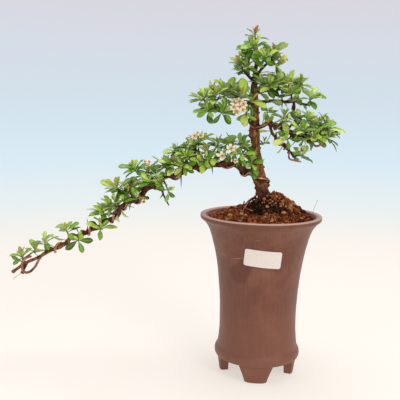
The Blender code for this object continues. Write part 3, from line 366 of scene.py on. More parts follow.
@dataclass(frozen=True)
class UnglazedStoneware:
    """Iron-rich stoneware, thrown and fired bare: a dry, even brown.

    The lip's top carries a painted highlight over some wear, the lip's outer face painted shade and the foot
    painted floor bounce.
    """

    deep: str = "#5d3323"
    body: str = "#683a29"
    pale: str = "#855643"
    # Painted highlight on the lip's top face, over some wear; also the sheen's tint
    lit_worn_edge: str = "#c79f8e"
    damp: str = "#5c2c20"
    mottle_mm: float = 34.0
    wipe_mm: float = 2.6
    wipe_length_mm: float = 60.0
    grit_mm: float = 0.8
    damp_mm: float = 15.0
    damp_ragged_mm: float = 44.0
    # Scuffs: x and height of the middle, tilt in degrees, half length, half width, share and colour
    scuffs: tuple[tuple[float, float, float, float, float, float, str], ...] = (
        (-23.5, 144.5, -12.0, 7.5, 0.45, 0.55, "#b98a78"), (-40.0, 146.0, 14.0, 3.0, 0.5, 0.4, "#b98a78"),
        (-2.0, 167.5, -6.0, 3.2, 0.4, 0.45, "#b98a78"), (44.0, 145.0, 72.0, 5.0, 1.1, 0.5, "#4c2419"),
    )

    def make(self, origin: Vector, damp_spot: Vector, lip: float, foot: float) -> bpy.types.Material:
        """Mix the clay.

        Args:
            origin: middle of the pot's base, in the part's millimetres.
            damp_spot: middle of a darker handling mark, in the part's millimetres.
            lip: height of the lip's edge.
            foot: height down to which the painted floor bounce pales the body.

        Returns:
            The material.
        """
        mix = Mixture("unglazed_stoneware")
        mottle = mix.add("TexNoise", {"Scale": 1 / self.mottle_mm, "Detail": 5.0, "Roughness": 0.6})
        body = mix.add("ValToRGB", {"Fac": mottle, "stops": [(0.24, self.deep), (0.5, self.body),
                                                             (0.8, self.pale)]})
        squeeze = (1 / self.wipe_mm, 1 / self.wipe_mm, 1 / self.wipe_length_mm)
        wiped = mix.add("Mapping", {"Scale": squeeze})
        wipe = mix.add("TexNoise", {"Vector": wiped, "Scale": 1.0, "Detail": 3.0})
        streak = mix.add("MapRange", {"Value": wipe, "From Min": 0.35, "From Max": 0.75, "To Max": 0.35})
        coats = [(streak, self.pale)]
        height = mix.add("SeparateXYZ", {}, "Z")
        # Height bands: a painted highlight on the lip's top face over some wear, painted shade on the lip's
        # outer face just under its edge, and painted floor bounce that pales the body towards the foot
        for start, end, most, code in ((lip - 1.2, lip - 0.2, 0.85, self.lit_worn_edge),
                                       (lip - 6.5, lip - 4.5, 0.3, self.deep),
                                       (lip * 0.65, foot, 0.5, self.pale)):
            share = mix.add("MapRange", {"Value": height, "From Min": start, "From Max": end,
                                         "To Max": most})
            # The painted shade stops short of the lip's top face
            if code == self.deep:
                below = mix.add("Math", {"operation": "LESS_THAN", 0: height, 1: lip - 0.6})
                share = mix.add("Math", {"operation": "MULTIPLY", 0: share, 1: below})
            coats.append((share, code))
        away = mix.add("VectorMath", {"operation": "DISTANCE", 1: damp_spot}, "Value")
        ragged = mix.add("Math", {"operation": "MULTIPLY_ADD", 0: mottle, 1: self.damp_ragged_mm,
                                  2: -self.damp_ragged_mm / 2})
        shifted = mix.add("Math", {"operation": "ADD", 0: away, 1: ragged})
        coats.append((mix.add("MapRange", {"Value": shifted, "From Min": self.damp_mm,
                                           "From Max": self.damp_mm - 5, "To Max": 0.55}), self.damp))
        depth = mix.add("SeparateXYZ", {}, "Y")
        front = mix.add("MapRange", {"Value": depth, "From Min": origin.y - 8, "From Max": origin.y - 12})
        for x, z, tilt, length, width, most, code in self.scuffs:
            stroke = mix.add("Mapping", {"vector_type": "TEXTURE", "Location": (origin.x + x, 0.0, z),
                                         "Rotation": (0.0, math.radians(tilt), 0.0),
                                         "Scale": (length, 1e6, width)})
            away = mix.add("VectorMath", {"operation": "LENGTH", "Vector": stroke}, "Value")
            share = mix.add("MapRange", {"Value": away, "From Min": 1.2, "From Max": 0.4, "To Max": most})
            coats.append((mix.add("Math", {"operation": "MULTIPLY", 0: share, 1: front}), code))
        grit = mix.add("TexNoise", {"Scale": 1 / self.grit_mm, "Detail": 3.0})
        relief = mix.add("Math", {"operation": "ADD", 0: grit, 1: wipe})
        return mix.finish(body, coats, relief, 0.12, {
            "Roughness": 0.5, "Specular IOR Level": 0.38, "Sheen Weight": 0.17, "Sheen Roughness": 0.45,
            "Sheen Tint": self.lit_worn_edge})


@dataclass(frozen=True)
class FiredLoamGranules:
    """Akadama, sieved and baked volcanic loam: dull, crumbly, from ochre to damp brown."""

    damp: str = "#42210f"
    body: str = "#793c1c"
    dry: str = "#9a5935"
    dust: str = "#b98a60"
    humus: str = "#20150f"
    cloud_mm: float = 3.0
    pore_mm: float = 0.5

    def make(self) -> bpy.types.Material:
        """Mix the granules' finish.

        Returns:
            The material; paint gives the grain's tone and its share of humus.
        """
        mix = Mixture("fired_loam_granules")
        cloud = mix.add("TexNoise", {"Scale": 1 / self.cloud_mm, "Detail": 4.0})
        drift = mix.add("Math", {"operation": "MULTIPLY_ADD", 0: cloud, 1: 0.5, 2: -0.25})
        tone = mix.add("Math", {"operation": "ADD", 0: drift, 1: mix.paint[0]})
        loam = mix.add("ValToRGB", {"Fac": tone, "stops": [(0.0, self.damp), (0.4, self.body),
                                                           (0.75, self.dry), (1.0, self.dust)]})
        pores = mix.add("TexNoise", {"Scale": 1 / self.pore_mm, "Detail": 4.0})
        return mix.finish(loam, [(mix.paint[1], self.humus)], pores, 0.3,
                          {"Roughness": 0.95, "Specular IOR Level": 0.1})


@dataclass(frozen=True)
class FirethornBark:
    """Firethorn bark: smooth olive-brown with pores on the stem, dark and flaky on old wood."""

    crack: str = "#1a0b08"
    dark: str = "#43221a"
    ridge: str = "#784630"
    olive_deep: str = "#462b14"
    olive: str = "#7f552a"
    olive_lit: str = "#ac7e49"
    scar: str = "#73302a"
    wet: str = "#341311"
    pore: str = "#b59874"
    flake_mm: float = 2.4
    flake_length_mm: float = 7.0
    patch_mm: float = 9.0
    pore_mm: float = 1.3

    def make(self) -> bpy.types.Material:
        """Mix the bark.

        Returns:
            The material; paint gives the share of smooth olive bark, on the trunk partly painted light, of
            scars, of pores and of wet red.
        """
        mix = Mixture("firethorn_bark")
        squeeze = (1 / self.flake_mm, 1 / self.flake_mm, 1 / self.flake_length_mm)
        along = mix.add("Mapping", {"Scale": squeeze})
        flake = mix.add("TexNoise", {"Vector": along, "Scale": 1.0, "Detail": 6.0, "Roughness": 0.65})
        old = mix.add("ValToRGB", {"Fac": flake, "stops": [(0.34, self.crack), (0.5, self.dark),
                                                           (0.72, self.ridge)]})
        smooth = mix.add("ValToRGB", {"Fac": flake, "stops": [(0.32, self.olive_deep), (0.48, self.olive),
                                                              (0.66, self.olive_lit)]})
        patch = mix.add("TexNoise", {"Scale": 1 / self.patch_mm, "Detail": 3.0})
        dots = mix.add("TexVoronoi", {"Scale": 1 / self.pore_mm}, "Distance")
        coats = []
        for value, start, end, most, paint, colour in (
                (patch, 0.38, 0.52, 1.0, 0, smooth), (None, 0.0, 0.0, 0.0, 3, self.wet),
                (patch, 0.56, 0.64, 1.0, 1, self.scar), (dots, 0.26, 0.16, 0.5, 2, self.pore)):
            share = mix.paint[paint]
            if value:
                spread = mix.add("MapRange", {"Value": value, "From Min": start, "From Max": end,
                                              "To Max": most})
                share = mix.add("Math", {"operation": "MULTIPLY", 0: spread, 1: share})
            coats.append((share, colour))
        return mix.finish(old, coats, flake, 0.7, {"Roughness": 0.75, "Specular IOR Level": 0.2})


@dataclass(frozen=True)
class WaxyLeafSkin:
    """Evergreen leaf skin under a wax layer: glossy green above, paler and matt below."""

    name: str
    deep: str
    green: str
    fresh: str
    pale: str
    vein: str
    bronze: str
    bronze_tip: str
    roughness: float
    coat: float
    vein_pairs: float = 7.0
    cloud_mm: float = 4.0

    def make(self) -> bpy.types.Material:
        """Mix the leaf skin.

        Returns:
            The material; paint gives the place across and along the blade, its tone and bronze.
        """
        mix = Mixture(self.name)
        across, along, tone, bronze = mix.paint
        cloud = mix.add("TexNoise", {"Scale": 1 / self.cloud_mm, "Detail": 3.0})
        drift = mix.add("Math", {"operation": "MULTIPLY_ADD", 0: cloud, 1: 0.36, 2: -0.18})
        shade = mix.add("Math", {"operation": "ADD", 0: drift, 1: tone})
        skin = mix.add("ValToRGB", {"Fac": shade, "stops": [(0.05, self.deep), (0.4, self.green),
                                                            (0.7, self.fresh), (1.0, self.pale)]})
        centred = mix.add("Math", {"operation": "SUBTRACT", 0: across, 1: 0.5})
        off_rib = mix.add("Math", {"operation": "ABSOLUTE", 0: centred})
        rib = mix.add("MapRange", {"Value": off_rib, "From Min": 0.07, "From Max": 0.02, "To Max": 0.45})
        slant = mix.add("Math", {"operation": "MULTIPLY_ADD", 0: off_rib, 1: -0.45, 2: along})
        ripple = mix.add("Math", {"operation": "MULTIPLY", 0: slant, 1: math.tau * self.vein_pairs})
        wave = mix.add("Math", {"operation": "SINE", 0: ripple})
        side_veins = mix.add("MapRange", {"Value": wave, "From Min": 0.86, "From Max": 1.0, "To Max": 0.16})
        veins = mix.add("Math", {"operation": "MAXIMUM", 0: rib, 1: side_veins})
        flush = mix.add("ValToRGB", {"Fac": along, "stops": [(0.2, self.bronze), (0.95, self.bronze_tip)]})
        height = mix.add("Math", {"operation": "MULTIPLY_ADD", 0: veins, 1: -0.6, 2: cloud})
        return mix.finish(skin, [(veins, self.vein), (bronze, flush)], height, 0.25, {
            "Roughness": self.roughness, "Specular IOR Level": 0.3, "Coat Weight": self.coat,
            "Coat Roughness": 0.22, "Subsurface Weight": 0.15, "Subsurface Scale": 0.6 * MM,
            "Subsurface Radius": (0.5, 1.0, 0.3)})


LEAF_UPPER = WaxyLeafSkin("waxy_leaf_upper", "#284d0d", "#62961f", "#a6c442", "#dae278", "#c6d886", "#8a6a2a",
                          "#c46f38", 0.42, 0.14)
LEAF_UNDER = WaxyLeafSkin("waxy_leaf_under", "#6b8c42", "#90ab5c", "#b2c475", "#cbd58c", "#d3dfab", "#9c7040",
                          "#c47c4c", 0.6, 0.0)


@dataclass(frozen=True)
class ThinPetal:
    """Petal tissue, thin and full of air: warm white, tanned where it withers."""

    name: str
    base: str
    body: str
    withered: str
    cloud_mm: float = 1.6

    def make(self) -> bpy.types.Material:
        """Mix the petal.

        Returns:
            The material; paint gives the place along the petal and its share of withering.
        """
        mix = Mixture(self.name)
        cloud = mix.add("TexNoise", {"Scale": 1 / self.cloud_mm, "Detail": 4.0})
        body = mix.add("ValToRGB", {"Fac": mix.paint[1], "stops": [(0.05, self.base), (0.35, self.body),
                                                                   (1.0, self.body)]})
        patch = mix.add("MapRange", {"Value": cloud, "From Min": 0.42, "From Max": 0.62})
        share = mix.add("Math", {"operation": "MULTIPLY", 0: patch, 1: mix.paint[2]})
        return mix.finish(body, [(share, self.withered)], cloud, 0.12, {
            "Roughness": 0.6, "Subsurface Weight": 0.2, "Subsurface Scale": 0.8 * MM,
            "Subsurface Radius": (1.0, 0.8, 0.5)})


# The parts of a blossom, in the order of the finish numbers: petal, thread, pollen sac and sepal
BLOSSOM_TISSUES = (
    ThinPetal("thin_petal", "#f4cb78", "#fff0d2", "#e6ad6c"),
    ThinPetal("stamen_thread", "#f1dcae", "#f4e0bb", "#d9b078"),
    ThinPetal("pollen_sac", "#e6bd78", "#e9c484", "#c99552"),
    ThinPetal("green_sepal", "#6d8a33", "#8a9f45", "#a58a50"),
)


@dataclass(frozen=True)
class GreenTwig:
    """New wood: brown and barky where it springs, green-tan at its soft end."""

    old: str = "#4a2a1e"
    young: str = "#86803f"
    speck_mm: float = 1.0

    def make(self) -> bpy.types.Material:
        """Mix the twig.

        Returns:
            The material; paint gives the place along the twig.
        """
        mix = Mixture("green_twig")
        speck = mix.add("TexNoise", {"Scale": 1 / self.speck_mm, "Detail": 4.0})
        drift = mix.add("Math", {"operation": "MULTIPLY_ADD", 0: speck, 1: 0.6, 2: -0.3})
        place = mix.add("Math", {"operation": "ADD", 0: drift, 1: mix.paint[1]})
        colour = mix.add("ValToRGB", {"Fac": place, "stops": [(0.2, self.old), (0.95, self.young)]})
        return mix.finish(colour, [], speck, 0.2, {"Roughness": 0.6})


@dataclass(frozen=True)
class WitheredSkin:
    """Dried fruit flesh and stalks: shrunken, matt, black on the berry and orange on its remains."""

    berry: str = "#1f1110"
    remains: str = "#cf8a3f"
    wrinkle_mm: float = 0.9

    def make(self) -> bpy.types.Material:
        """Mix the skin.

        Returns:
            The material; paint gives the share of orange remains.
        """
        mix = Mixture("withered_skin")
        wrinkle = mix.add("TexNoise", {"Scale": 1 / self.wrinkle_mm, "Detail": 4.0})
        return mix.finish(self.berry, [(mix.paint[0], self.remains)], wrinkle, 0.4, {"Roughness": 0.55})


@dataclass(frozen=True)
class CloudedFinish:
    """A made surface of two tones that drift into each other, over a fine relief."""

    name: str
    tones: tuple[tuple[float, str], ...]
    cloud_mm: float
    cloud_detail: float
    relief_mm: float
    relief_detail: float
    relief: float
    values: dict[str, float]

    def make(self) -> bpy.types.Material:
        """Mix the finish.

        Returns:
            The material.
        """
        mix = Mixture(self.name)
        cloud = mix.add("TexNoise", {"Scale": 1 / self.cloud_mm, "Detail": self.cloud_detail})
        colour = mix.add("ValToRGB", {"Fac": cloud, "stops": self.tones})
        fine = mix.add("TexNoise", {"Scale": 1 / self.relief_mm, "Detail": self.relief_detail})
        return mix.finish(colour, [], fine, self.relief, self.values)


# Soft aluminium wire, drawn and anodised copper-brown: a satin metal, rubbed brighter in patches
ANODISED_WIRE = CloudedFinish("anodised_wire", ((0.35, "#683a2d"), (0.62, "#c48a70")), 12.0, 5.0, 0.7, 3.0,
                              0.06, {"Metallic": 1.0, "Roughness": 0.3})
# Sticker paper with a thin coat: near white, faintly fibrous, soft gloss
COATED_PAPER = CloudedFinish("coated_paper", ((0.35, "#ddd0c7"), (0.6, "#e6dad2")), 1.5, 5.0, 1.5, 5.0, 0.03,
                             {"Roughness": 0.45, "Coat Weight": 0.15, "Coat Roughness": 0.3})
# Moulded polyethylene net: black, waxy, dusty with soil
NET_PLASTIC = CloudedFinish("net_plastic", ((0.5, "#1b1b1a"), (0.7, "#5c3d2a")), 3.0, 4.0, 3.0, 4.0, 0.1,
                            {"Roughness": 0.5})


@dataclass(frozen=True)
class GlowingSeamlessPaper:
    """Photographer's seamless paper: matt, glowing with painted light that runs from warm white on the floor
    to pale blue behind.
    """

    # Painted light: colours of the paper and of its glow by height in metres
    bands: tuple[tuple[float, str], ...] = (
        (0.0, "#fef7ee"), (0.012, "#f8f6f0"), (0.05, "#eef4f3"), (0.16, "#ddeff8"), (0.34, "#d7e6ef"),
        (0.55, "#dce1eb"), (0.8, "#e1dbe0"),
    )
    glow: float = 0.62
    bounce: float = 0.4
    grain_mm: float = 2.0

    def make(self) -> bpy.types.Material:
        """Mix the backdrop's paper: partly lit by the lamps, partly by lights of its own.

        Returns:
            The material; its colour follows the height above the floor in metres.
        """
        mix = Mixture("glowing_seamless_paper")
        height = mix.add("Math", {"operation": "MULTIPLY", 0: mix.add("SeparateXYZ", {}, "Z"), 1: MM})
        colour = mix.add("ValToRGB", {"Fac": height, "stops": self.bands})
        grain = mix.add("TexNoise", {"Scale": 1 / self.grain_mm, "Detail": 2.0})
        lit = mix.add("VectorMath", {"operation": "SCALE", "Vector": colour, "Scale": self.bounce})
        return mix.finish(lit, [], grain, 0.02, {
            "Roughness": 0.9, "Specular IOR Level": 0.1, "Emission Strength": self.glow,
            "Emission Color": colour})


# Shapes


class Cap(Enum):
    """How the end rings of a loft are closed."""

    FACE = "by one face"
    STRIP = "by a strip of quads between the two halves of the ring"
    OPEN = "not at all"


def loft(rings: Sequence[Sequence[Point]], cap: Cap = Cap.FACE, wrap: bool = False) -> Shape:
    """Join rings of points by quads; a ring of a single point closes its end in a fan.

    Args:
        rings: rings of as many points each, from one end to the other.
        cap: how the end rings are closed.
        wrap: whether the last ring joins the first instead.

    Returns:
        The vertices and faces.
    """
    starts = [0]
    for ring in rings:
        starts.append(starts[-1] + len(ring))
    faces: list[tuple[int, ...]] = []
    last = len(rings) - 1
    for index in range(len(rings) if wrap else last):
        after = (index + 1) % len(rings)
        low, high = starts[index], starts[after]
        sides = max(len(rings[index]), len(rings[after]))
        for k in range(sides):
            turned = (k + 1) % sides
            if len(rings[after]) == 1:
                faces.append((low + k, low + turned, high))
            elif len(rings[index]) == 1:
                faces.append((low, high + turned, high + k))
            else:
                faces.append((low + k, low + turned, high + turned, high + k))
    for index, order in ((0, -1), (last, 1)):
        start, count = starts[index], len(rings[index])
        if wrap or count == 1 or cap is Cap.OPEN:
            continue
        if cap is Cap.STRIP:
            end = start + count - 1
            faces += [(start + k, start + k + 1, end - k - 1, end - k) for k in range(count // 2 - 1)]
        else:
            faces.append(tuple(range(start, start + count))[::order])
    return [point for ring in rings for point in ring], faces


def circle(radius: float, z: float, sides: int) -> list[tuple[float, float, float]]:
    """A level ring of points round the middle."""
    turns = [math.tau * k / sides for k in range(sides)]
    return [(radius * math.cos(turn), radius * math.sin(turn), z) for turn in turns]


def clamp(value: float, low: float = 0.0, high: float = 1.0) -> float:
    """The value, kept between two bounds."""
    return min(max(value, low), high)


def square(vector: Vector, axis: Vector) -> Vector:
    """The part of a vector that stands square on a unit axis, one long."""
    return (vector - axis * vector.dot(axis)).normalized()


def spoke(axis: Vector, turn: float, side: Vector | None = None) -> Vector:
    """A unit vector that stands square on an axis.

    Args:
        axis: the unit axis.
        turn: angle round it in radians.
        side: where the turn starts, or None for any side.

    Returns:
        The vector.
    """
    if side is None:
        side = axis.orthogonal().normalized()
    return side * math.cos(turn) + axis.cross(side) * math.sin(turn)


def tube(points: Sequence[Point], radii: Sequence[float], sides: int, pointed: bool = False) -> Shape:
    """A closed tube through the points.

    Args:
        points: centres of its rings.
        radii: radius at each point.
        sides: corners of a ring.
        pointed: whether it ends in a single corner.

    Returns:
        Its vertices and faces.
    """
    points = [Vector(p) for p in points]
    last = len(points) - 1
    rings: list[list[Vector]] = []
    side = None
    for index in range(last if pointed else last + 1):
        ahead = (points[min(index + 1, last)] - points[max(index - 1, 0)]).normalized()
        side = square(ahead.orthogonal() if side is None else side, ahead)
        rings.append([points[index] + spoke(ahead, math.tau * corner / sides, side) * radii[index]
                      for corner in range(sides)])
    if pointed:
        rings.append([points[last]])
    return loft(rings)


def smooth_run(points: Sequence[WoodPoint], step: float) -> tuple[list[Vector], list[float]]:
    """Points and radii along a Catmull-Rom curve.

    Args:
        points: (x, y, z, radius) points that it passes through.
        step: rough distance between the points made.

    Returns:
        The axis and its radii.
    """
    last = len(points) - 1
    rows: list[list[float]] = []
    for index in range(last):
        around = [points[min(max(index + k, 0), last)] for k in (-1, 0, 1, 2)]
        pieces = max(1, round((Vector(around[2][:3]) - Vector(around[1][:3])).length / step))
        for piece in range(pieces):
            t = piece / pieces
            weights = ((-t + 2 * t * t - t ** 3) / 2, (2 - 5 * t * t + 3 * t ** 3) / 2,
                       (t + 4 * t * t - 3 * t ** 3) / 2, (-t * t + t ** 3) / 2)
            rows.append([sum(w * p[k] for w, p in zip(weights, around)) for k in range(4)])
    rows.append(list(points[-1]))
    return [Vector(row[:3]) for row in rows], [row[3] for row in rows]


def stalk(rows: Sequence[WoodPoint], step: float, sides: int) -> Shape:
    """A smooth stalk through (x, y, z, radius) points."""
    return tube(*smooth_run(rows, step), sides)


def bud(centre: Vector, axis: Vector, radius: float, sides: int = 5) -> Shape:
    """A small pointed egg, such as a flower bud or a dried berry.

    Args:
        centre: its middle.
        axis: direction of its point.
        radius: its widest radius.
        sides: corners round it.

    Returns:
        Its vertices and faces.
    """
    points = [centre + axis.normalized() * (radius * share) for share in (-0.9, -0.3, 0.5, 1.2)]
    return tube(points, [radius * 0.45, radius, radius * 0.8, 0.0], sides, pointed=True)


def ball(subdivisions: int, radius: float) -> tuple[list[Vector], list[tuple[int, ...]]]:
    """An even ball of triangles.

    Args:
        subdivisions: how often its twenty faces are split.
        radius: its radius.

    Returns:
        Its vertices and faces.
    """
    work = bmesh.new()
    bmesh.ops.create_icosphere(work, subdivisions=subdivisions, radius=radius)
    shape = [v.co.copy() for v in work.verts], [tuple(v.index for v in f.verts) for f in work.faces]
    work.free()
    return shape


@dataclass
class Limb:
    """A woody limb with a smooth axis and a changing radius, through given points."""

    points: Sequence[WoodPoint]
    step: float
    sides: int

    def __post_init__(self) -> None:
        """Lay the limb's axis."""
        self.axis, self.radii = smooth_run(self.points, self.step)

    def shape(self) -> Shape:
        """The limb's closed tube."""
        return tube(self.axis, self.radii, self.sides)

    def at(self, place: float) -> tuple[Vector, Vector, float]:
        """Point, direction and radius at a fractional station.

        Args:
            place: station along the axis.

        Returns:
            The point, the direction and the radius there.
        """
        place = min(max(place, 0.0), len(self.axis) - 1.001)
        low = int(place)
        part = place - low
        point = self.axis[low].lerp(self.axis[low + 1], part)
        radius = self.radii[low] * (1 - part) + self.radii[low + 1] * part
        ahead = (self.axis[low + 1] - self.axis[low]).normalized()
        before = (self.axis[low] - self.axis[max(low - 1, 0)]).normalized() if low else ahead
        return point, before.lerp(ahead, 0.5 + part / 2).normalized(), radius

    def station(self, key: int, value: float) -> float:
        """The fractional station where a coordinate first reaches a value.

        Args:
            key: 0, 1 or 2 for x, y or z.
            value: the coordinate looked for.

        Returns:
            The station.
        """
        for low in range(len(self.axis) - 1):
            start = self.axis[low][key]
            end = self.axis[low + 1][key]
            if (start - value) * (end - value) <= 0 and start != end:
                return low + (value - start) / (end - start)
        return len(self.axis) - 1.0

    def nearest(self, point: Vector) -> tuple[float, float]:
        """The fractional station nearest to a point, and its distance.

        Args:
            point: the point looked from.

        Returns:
            The station and the distance.
        """
        best = (0.0, math.inf)
        for low in range(len(self.axis) - 1):
            run = self.axis[low + 1] - self.axis[low]
            part = min(max((point - self.axis[low]).dot(run) / run.length_squared, 0.0), 1.0)
            gap = (self.axis[low] + run * part - point).length
            if gap < best[1]:
                best = (low + part, gap)
        return best


class Crowd:
    """Placed shapes that later shapes have to stay clear of."""

    def __init__(self) -> None:
        """Start with nothing placed."""
        self.boxes = np.empty((0, 6))
        self.members: list[tuple[BVHTree, str]] = []

    def add(self, shape: Shape, owner: str = "") -> None:
        """Remember a placed shape.

        Args:
            shape: its vertices and faces.
            owner: the spray that it belongs to.
        """
        verts = np.array(shape[0], float)
        self.boxes = np.vstack((self.boxes, np.concatenate((verts.min(0), -verts.max(0)))))
        self.members.append((BVHTree.FromPolygons(verts.tolist(), shape[1]), owner))

    def clear(self, shape: Shape, own: str = "none") -> bool:
        """Whether a shape crosses none of the placed ones.

        Args:
            shape: the shape to try.
            own: owner whose shapes it may cross.

        Returns:
            True where it is clear.
        """
        verts = np.array(shape[0], float)
        reach = np.concatenate((verts.max(0), -verts.min(0)))
        tried = BVHTree.FromPolygons(verts.tolist(), shape[1])
        near = [self.members[k] for k in np.nonzero((self.boxes <= reach).all(axis=1))[0]]
        return not any(owner != own and tried.overlap(tree) for tree, owner in near)


def stem_start(limbs: Sequence[Limb], centre: Vector, crowd: Crowd) -> tuple[Vector, Vector]:
    """Seat and direction of a twig on the nearest limb, shifted along it to miss the wires.

    Args:
        limbs: limbs that may carry it.
        centre: where the twig leads.
        crowd: shapes to stay clear of.

    Returns:
        The seat on the bark and the direction out of it.
    """
    limb = min(limbs, key=lambda choice: choice.nearest(centre)[1])
    place = limb.nearest(centre)[0]
    for shift in SEAT_SHIFTS:
        point, ahead, radius = limb.at(place + shift)
        outward = centre - point
        if place + shift >= len(limb.axis) - 1.3 and outward.normalized().dot(ahead) > 0.6:
            seat = limb.axis[-1] + ahead * SEAT_GAP
            outward = ahead
        else:
            outward = square(outward, ahead)
            seat = point + outward * (radius + SEAT_GAP)
        if crowd.clear(tube([seat, seat + outward * 2.0], [STEM_RADIUS + LEAF_GAP] * 2, 5)):
            break
    return seat, outward


class Stock:
    """Vertices, faces, paint and finish numbers of one piece, gathered in millimetres."""

    def __init__(self) -> None:
        """Start empty."""
        self.verts: list[tuple[float, ...]] = []
        self.faces: list[tuple[int, ...]] = []
        self.paint: list[Paint] = []
        self.kinds: list[int] = []

    def add(self, shape: Shape, paint: Paint | Sequence[Paint] = NO_PAINT,
            kind: int | Sequence[int] = 0) -> Stock:
        """Add a shape.

        Args:
            shape: its vertices and faces.
            paint: what its finish reads, for the whole shape or for each vertex.
            kind: finish number, for the whole shape or for each face.

        Returns:
            The stock itself.
        """
        verts, faces = shape
        base = len(self.verts)
        self.verts += [tuple(v) for v in verts]
        self.faces += [tuple(base + k for k in face) for face in faces]
        self.paint += [paint] * len(verts) if isinstance(paint, tuple) else list(paint)
        self.kinds += [kind] * len(faces) if isinstance(kind, int) else list(kind)
        return self


class Workbench:
    """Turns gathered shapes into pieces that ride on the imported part."""

    def __init__(self) -> None:
        """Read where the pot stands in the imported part."""
        low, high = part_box("pot")
        self.origin = Vector(((low.x + high.x) / 2, (low.y + high.y) / 2, low.z))

    def place(self, point: Point) -> Vector:
        """A point of the plant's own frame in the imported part's metres."""
        return Vector(point) * MM + self.origin

    def mesh(self, name: str, stock: Stock) -> bpy.types.Object:
        """An object with the stock's mesh and paint, its faces pointing out.

        Args:
            name: its name.
            stock: its gathered shapes.

        Returns:
            The object, linked to the scene.
        """
        data = bpy.data.meshes.new(name)
        verts = np.array(stock.verts, float) * MM + np.array(self.origin)
        data.from_pydata(verts.tolist(), [], stock.faces)
        paint = data.attributes.new("paint", "FLOAT_COLOR", "POINT")
        paint.data.foreach_set("color", np.array(stock.paint, float).ravel())
        data.polygons.foreach_set("material_index", stock.kinds)
        work = bmesh.new()
        work.from_mesh(data)
        bmesh.ops.recalc_face_normals(work, faces=work.faces)
        work.to_mesh(data)
        work.free()
        item = bpy.data.objects.new(name, data)
        bpy.context.scene.collection.objects.link(item)
        return item

    def dress(self, item: bpy.types.Object, finishes: Sequence[bpy.types.Material], slot: Slot,
              nodes: Sequence[str], crease: float = 180.0) -> None:
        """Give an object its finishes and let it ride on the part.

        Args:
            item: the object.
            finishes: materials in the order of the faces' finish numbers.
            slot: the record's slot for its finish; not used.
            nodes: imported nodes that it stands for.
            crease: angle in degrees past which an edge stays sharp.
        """
        for finish in finishes:
            item.data.materials.append(finish)
        item.data.shade_smooth()
        if crease < 180.0:
            item.data.set_sharp_from_angle(angle=math.radians(crease))
        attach(item, BODY)
        if nodes:
            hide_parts(*nodes)
        log.info("%s: %d faces", item.name, len(item.data.polygons))

    def piece(self, name: str, stock: Stock, *dressing: Any) -> None:
        """Make a piece from its stock and dress it with what dress takes."""
        self.dress(self.mesh(name, stock), *dressing)


# Leaves and petals


@dataclass
class Blade:
    """Where one leaf or petal grows, and how large and how old it is."""

    root: Vector
    ahead: Vector
    up: Vector
    length: float
    width: float
    tone: float = 0.5
    bronze: float = 0.0

    def plain(self, extra: float = 0.0) -> Shape:
        """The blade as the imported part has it: a slim root, two broad sections and a point.

        Args:
            extra: clearance added all round.

        Returns:
            Its vertices and faces.
        """
        across = self.ahead.cross(self.up)
        rings = []
        for along, share in LEAF_SECTIONS:
            half = share * self.width / 2 + extra
            middle = self.root + self.ahead * (self.length * along)
            middle -= self.up * (LEAF_ARCH * self.length * along * along)
            top = middle + self.up * (LEAF_THICK / 3 + extra)
            rings.append([top - across * half, top + across * half,
                          middle - self.up * (LEAF_THICK * 2 / 3 + extra)])
        rings.append([self.root + self.ahead * (self.length + extra) - self.up * (LEAF_ARCH * self.length)])
        verts, faces = loft(rings)
        return verts, [(face[0], face[k], face[k + 1]) for face in faces for k in range(1, len(face) - 1)]

    def outer(self) -> BVHTree:
        """The plain blade beyond its first part, to test against its neighbours in a rosette."""
        start = self.root + self.ahead * (self.length * 0.30)
        rest = Blade(start, self.ahead, self.up, self.length * 0.70, self.width)
        return BVHTree.FromPolygons(*rest.plain(LEAF_GAP * 0.5))


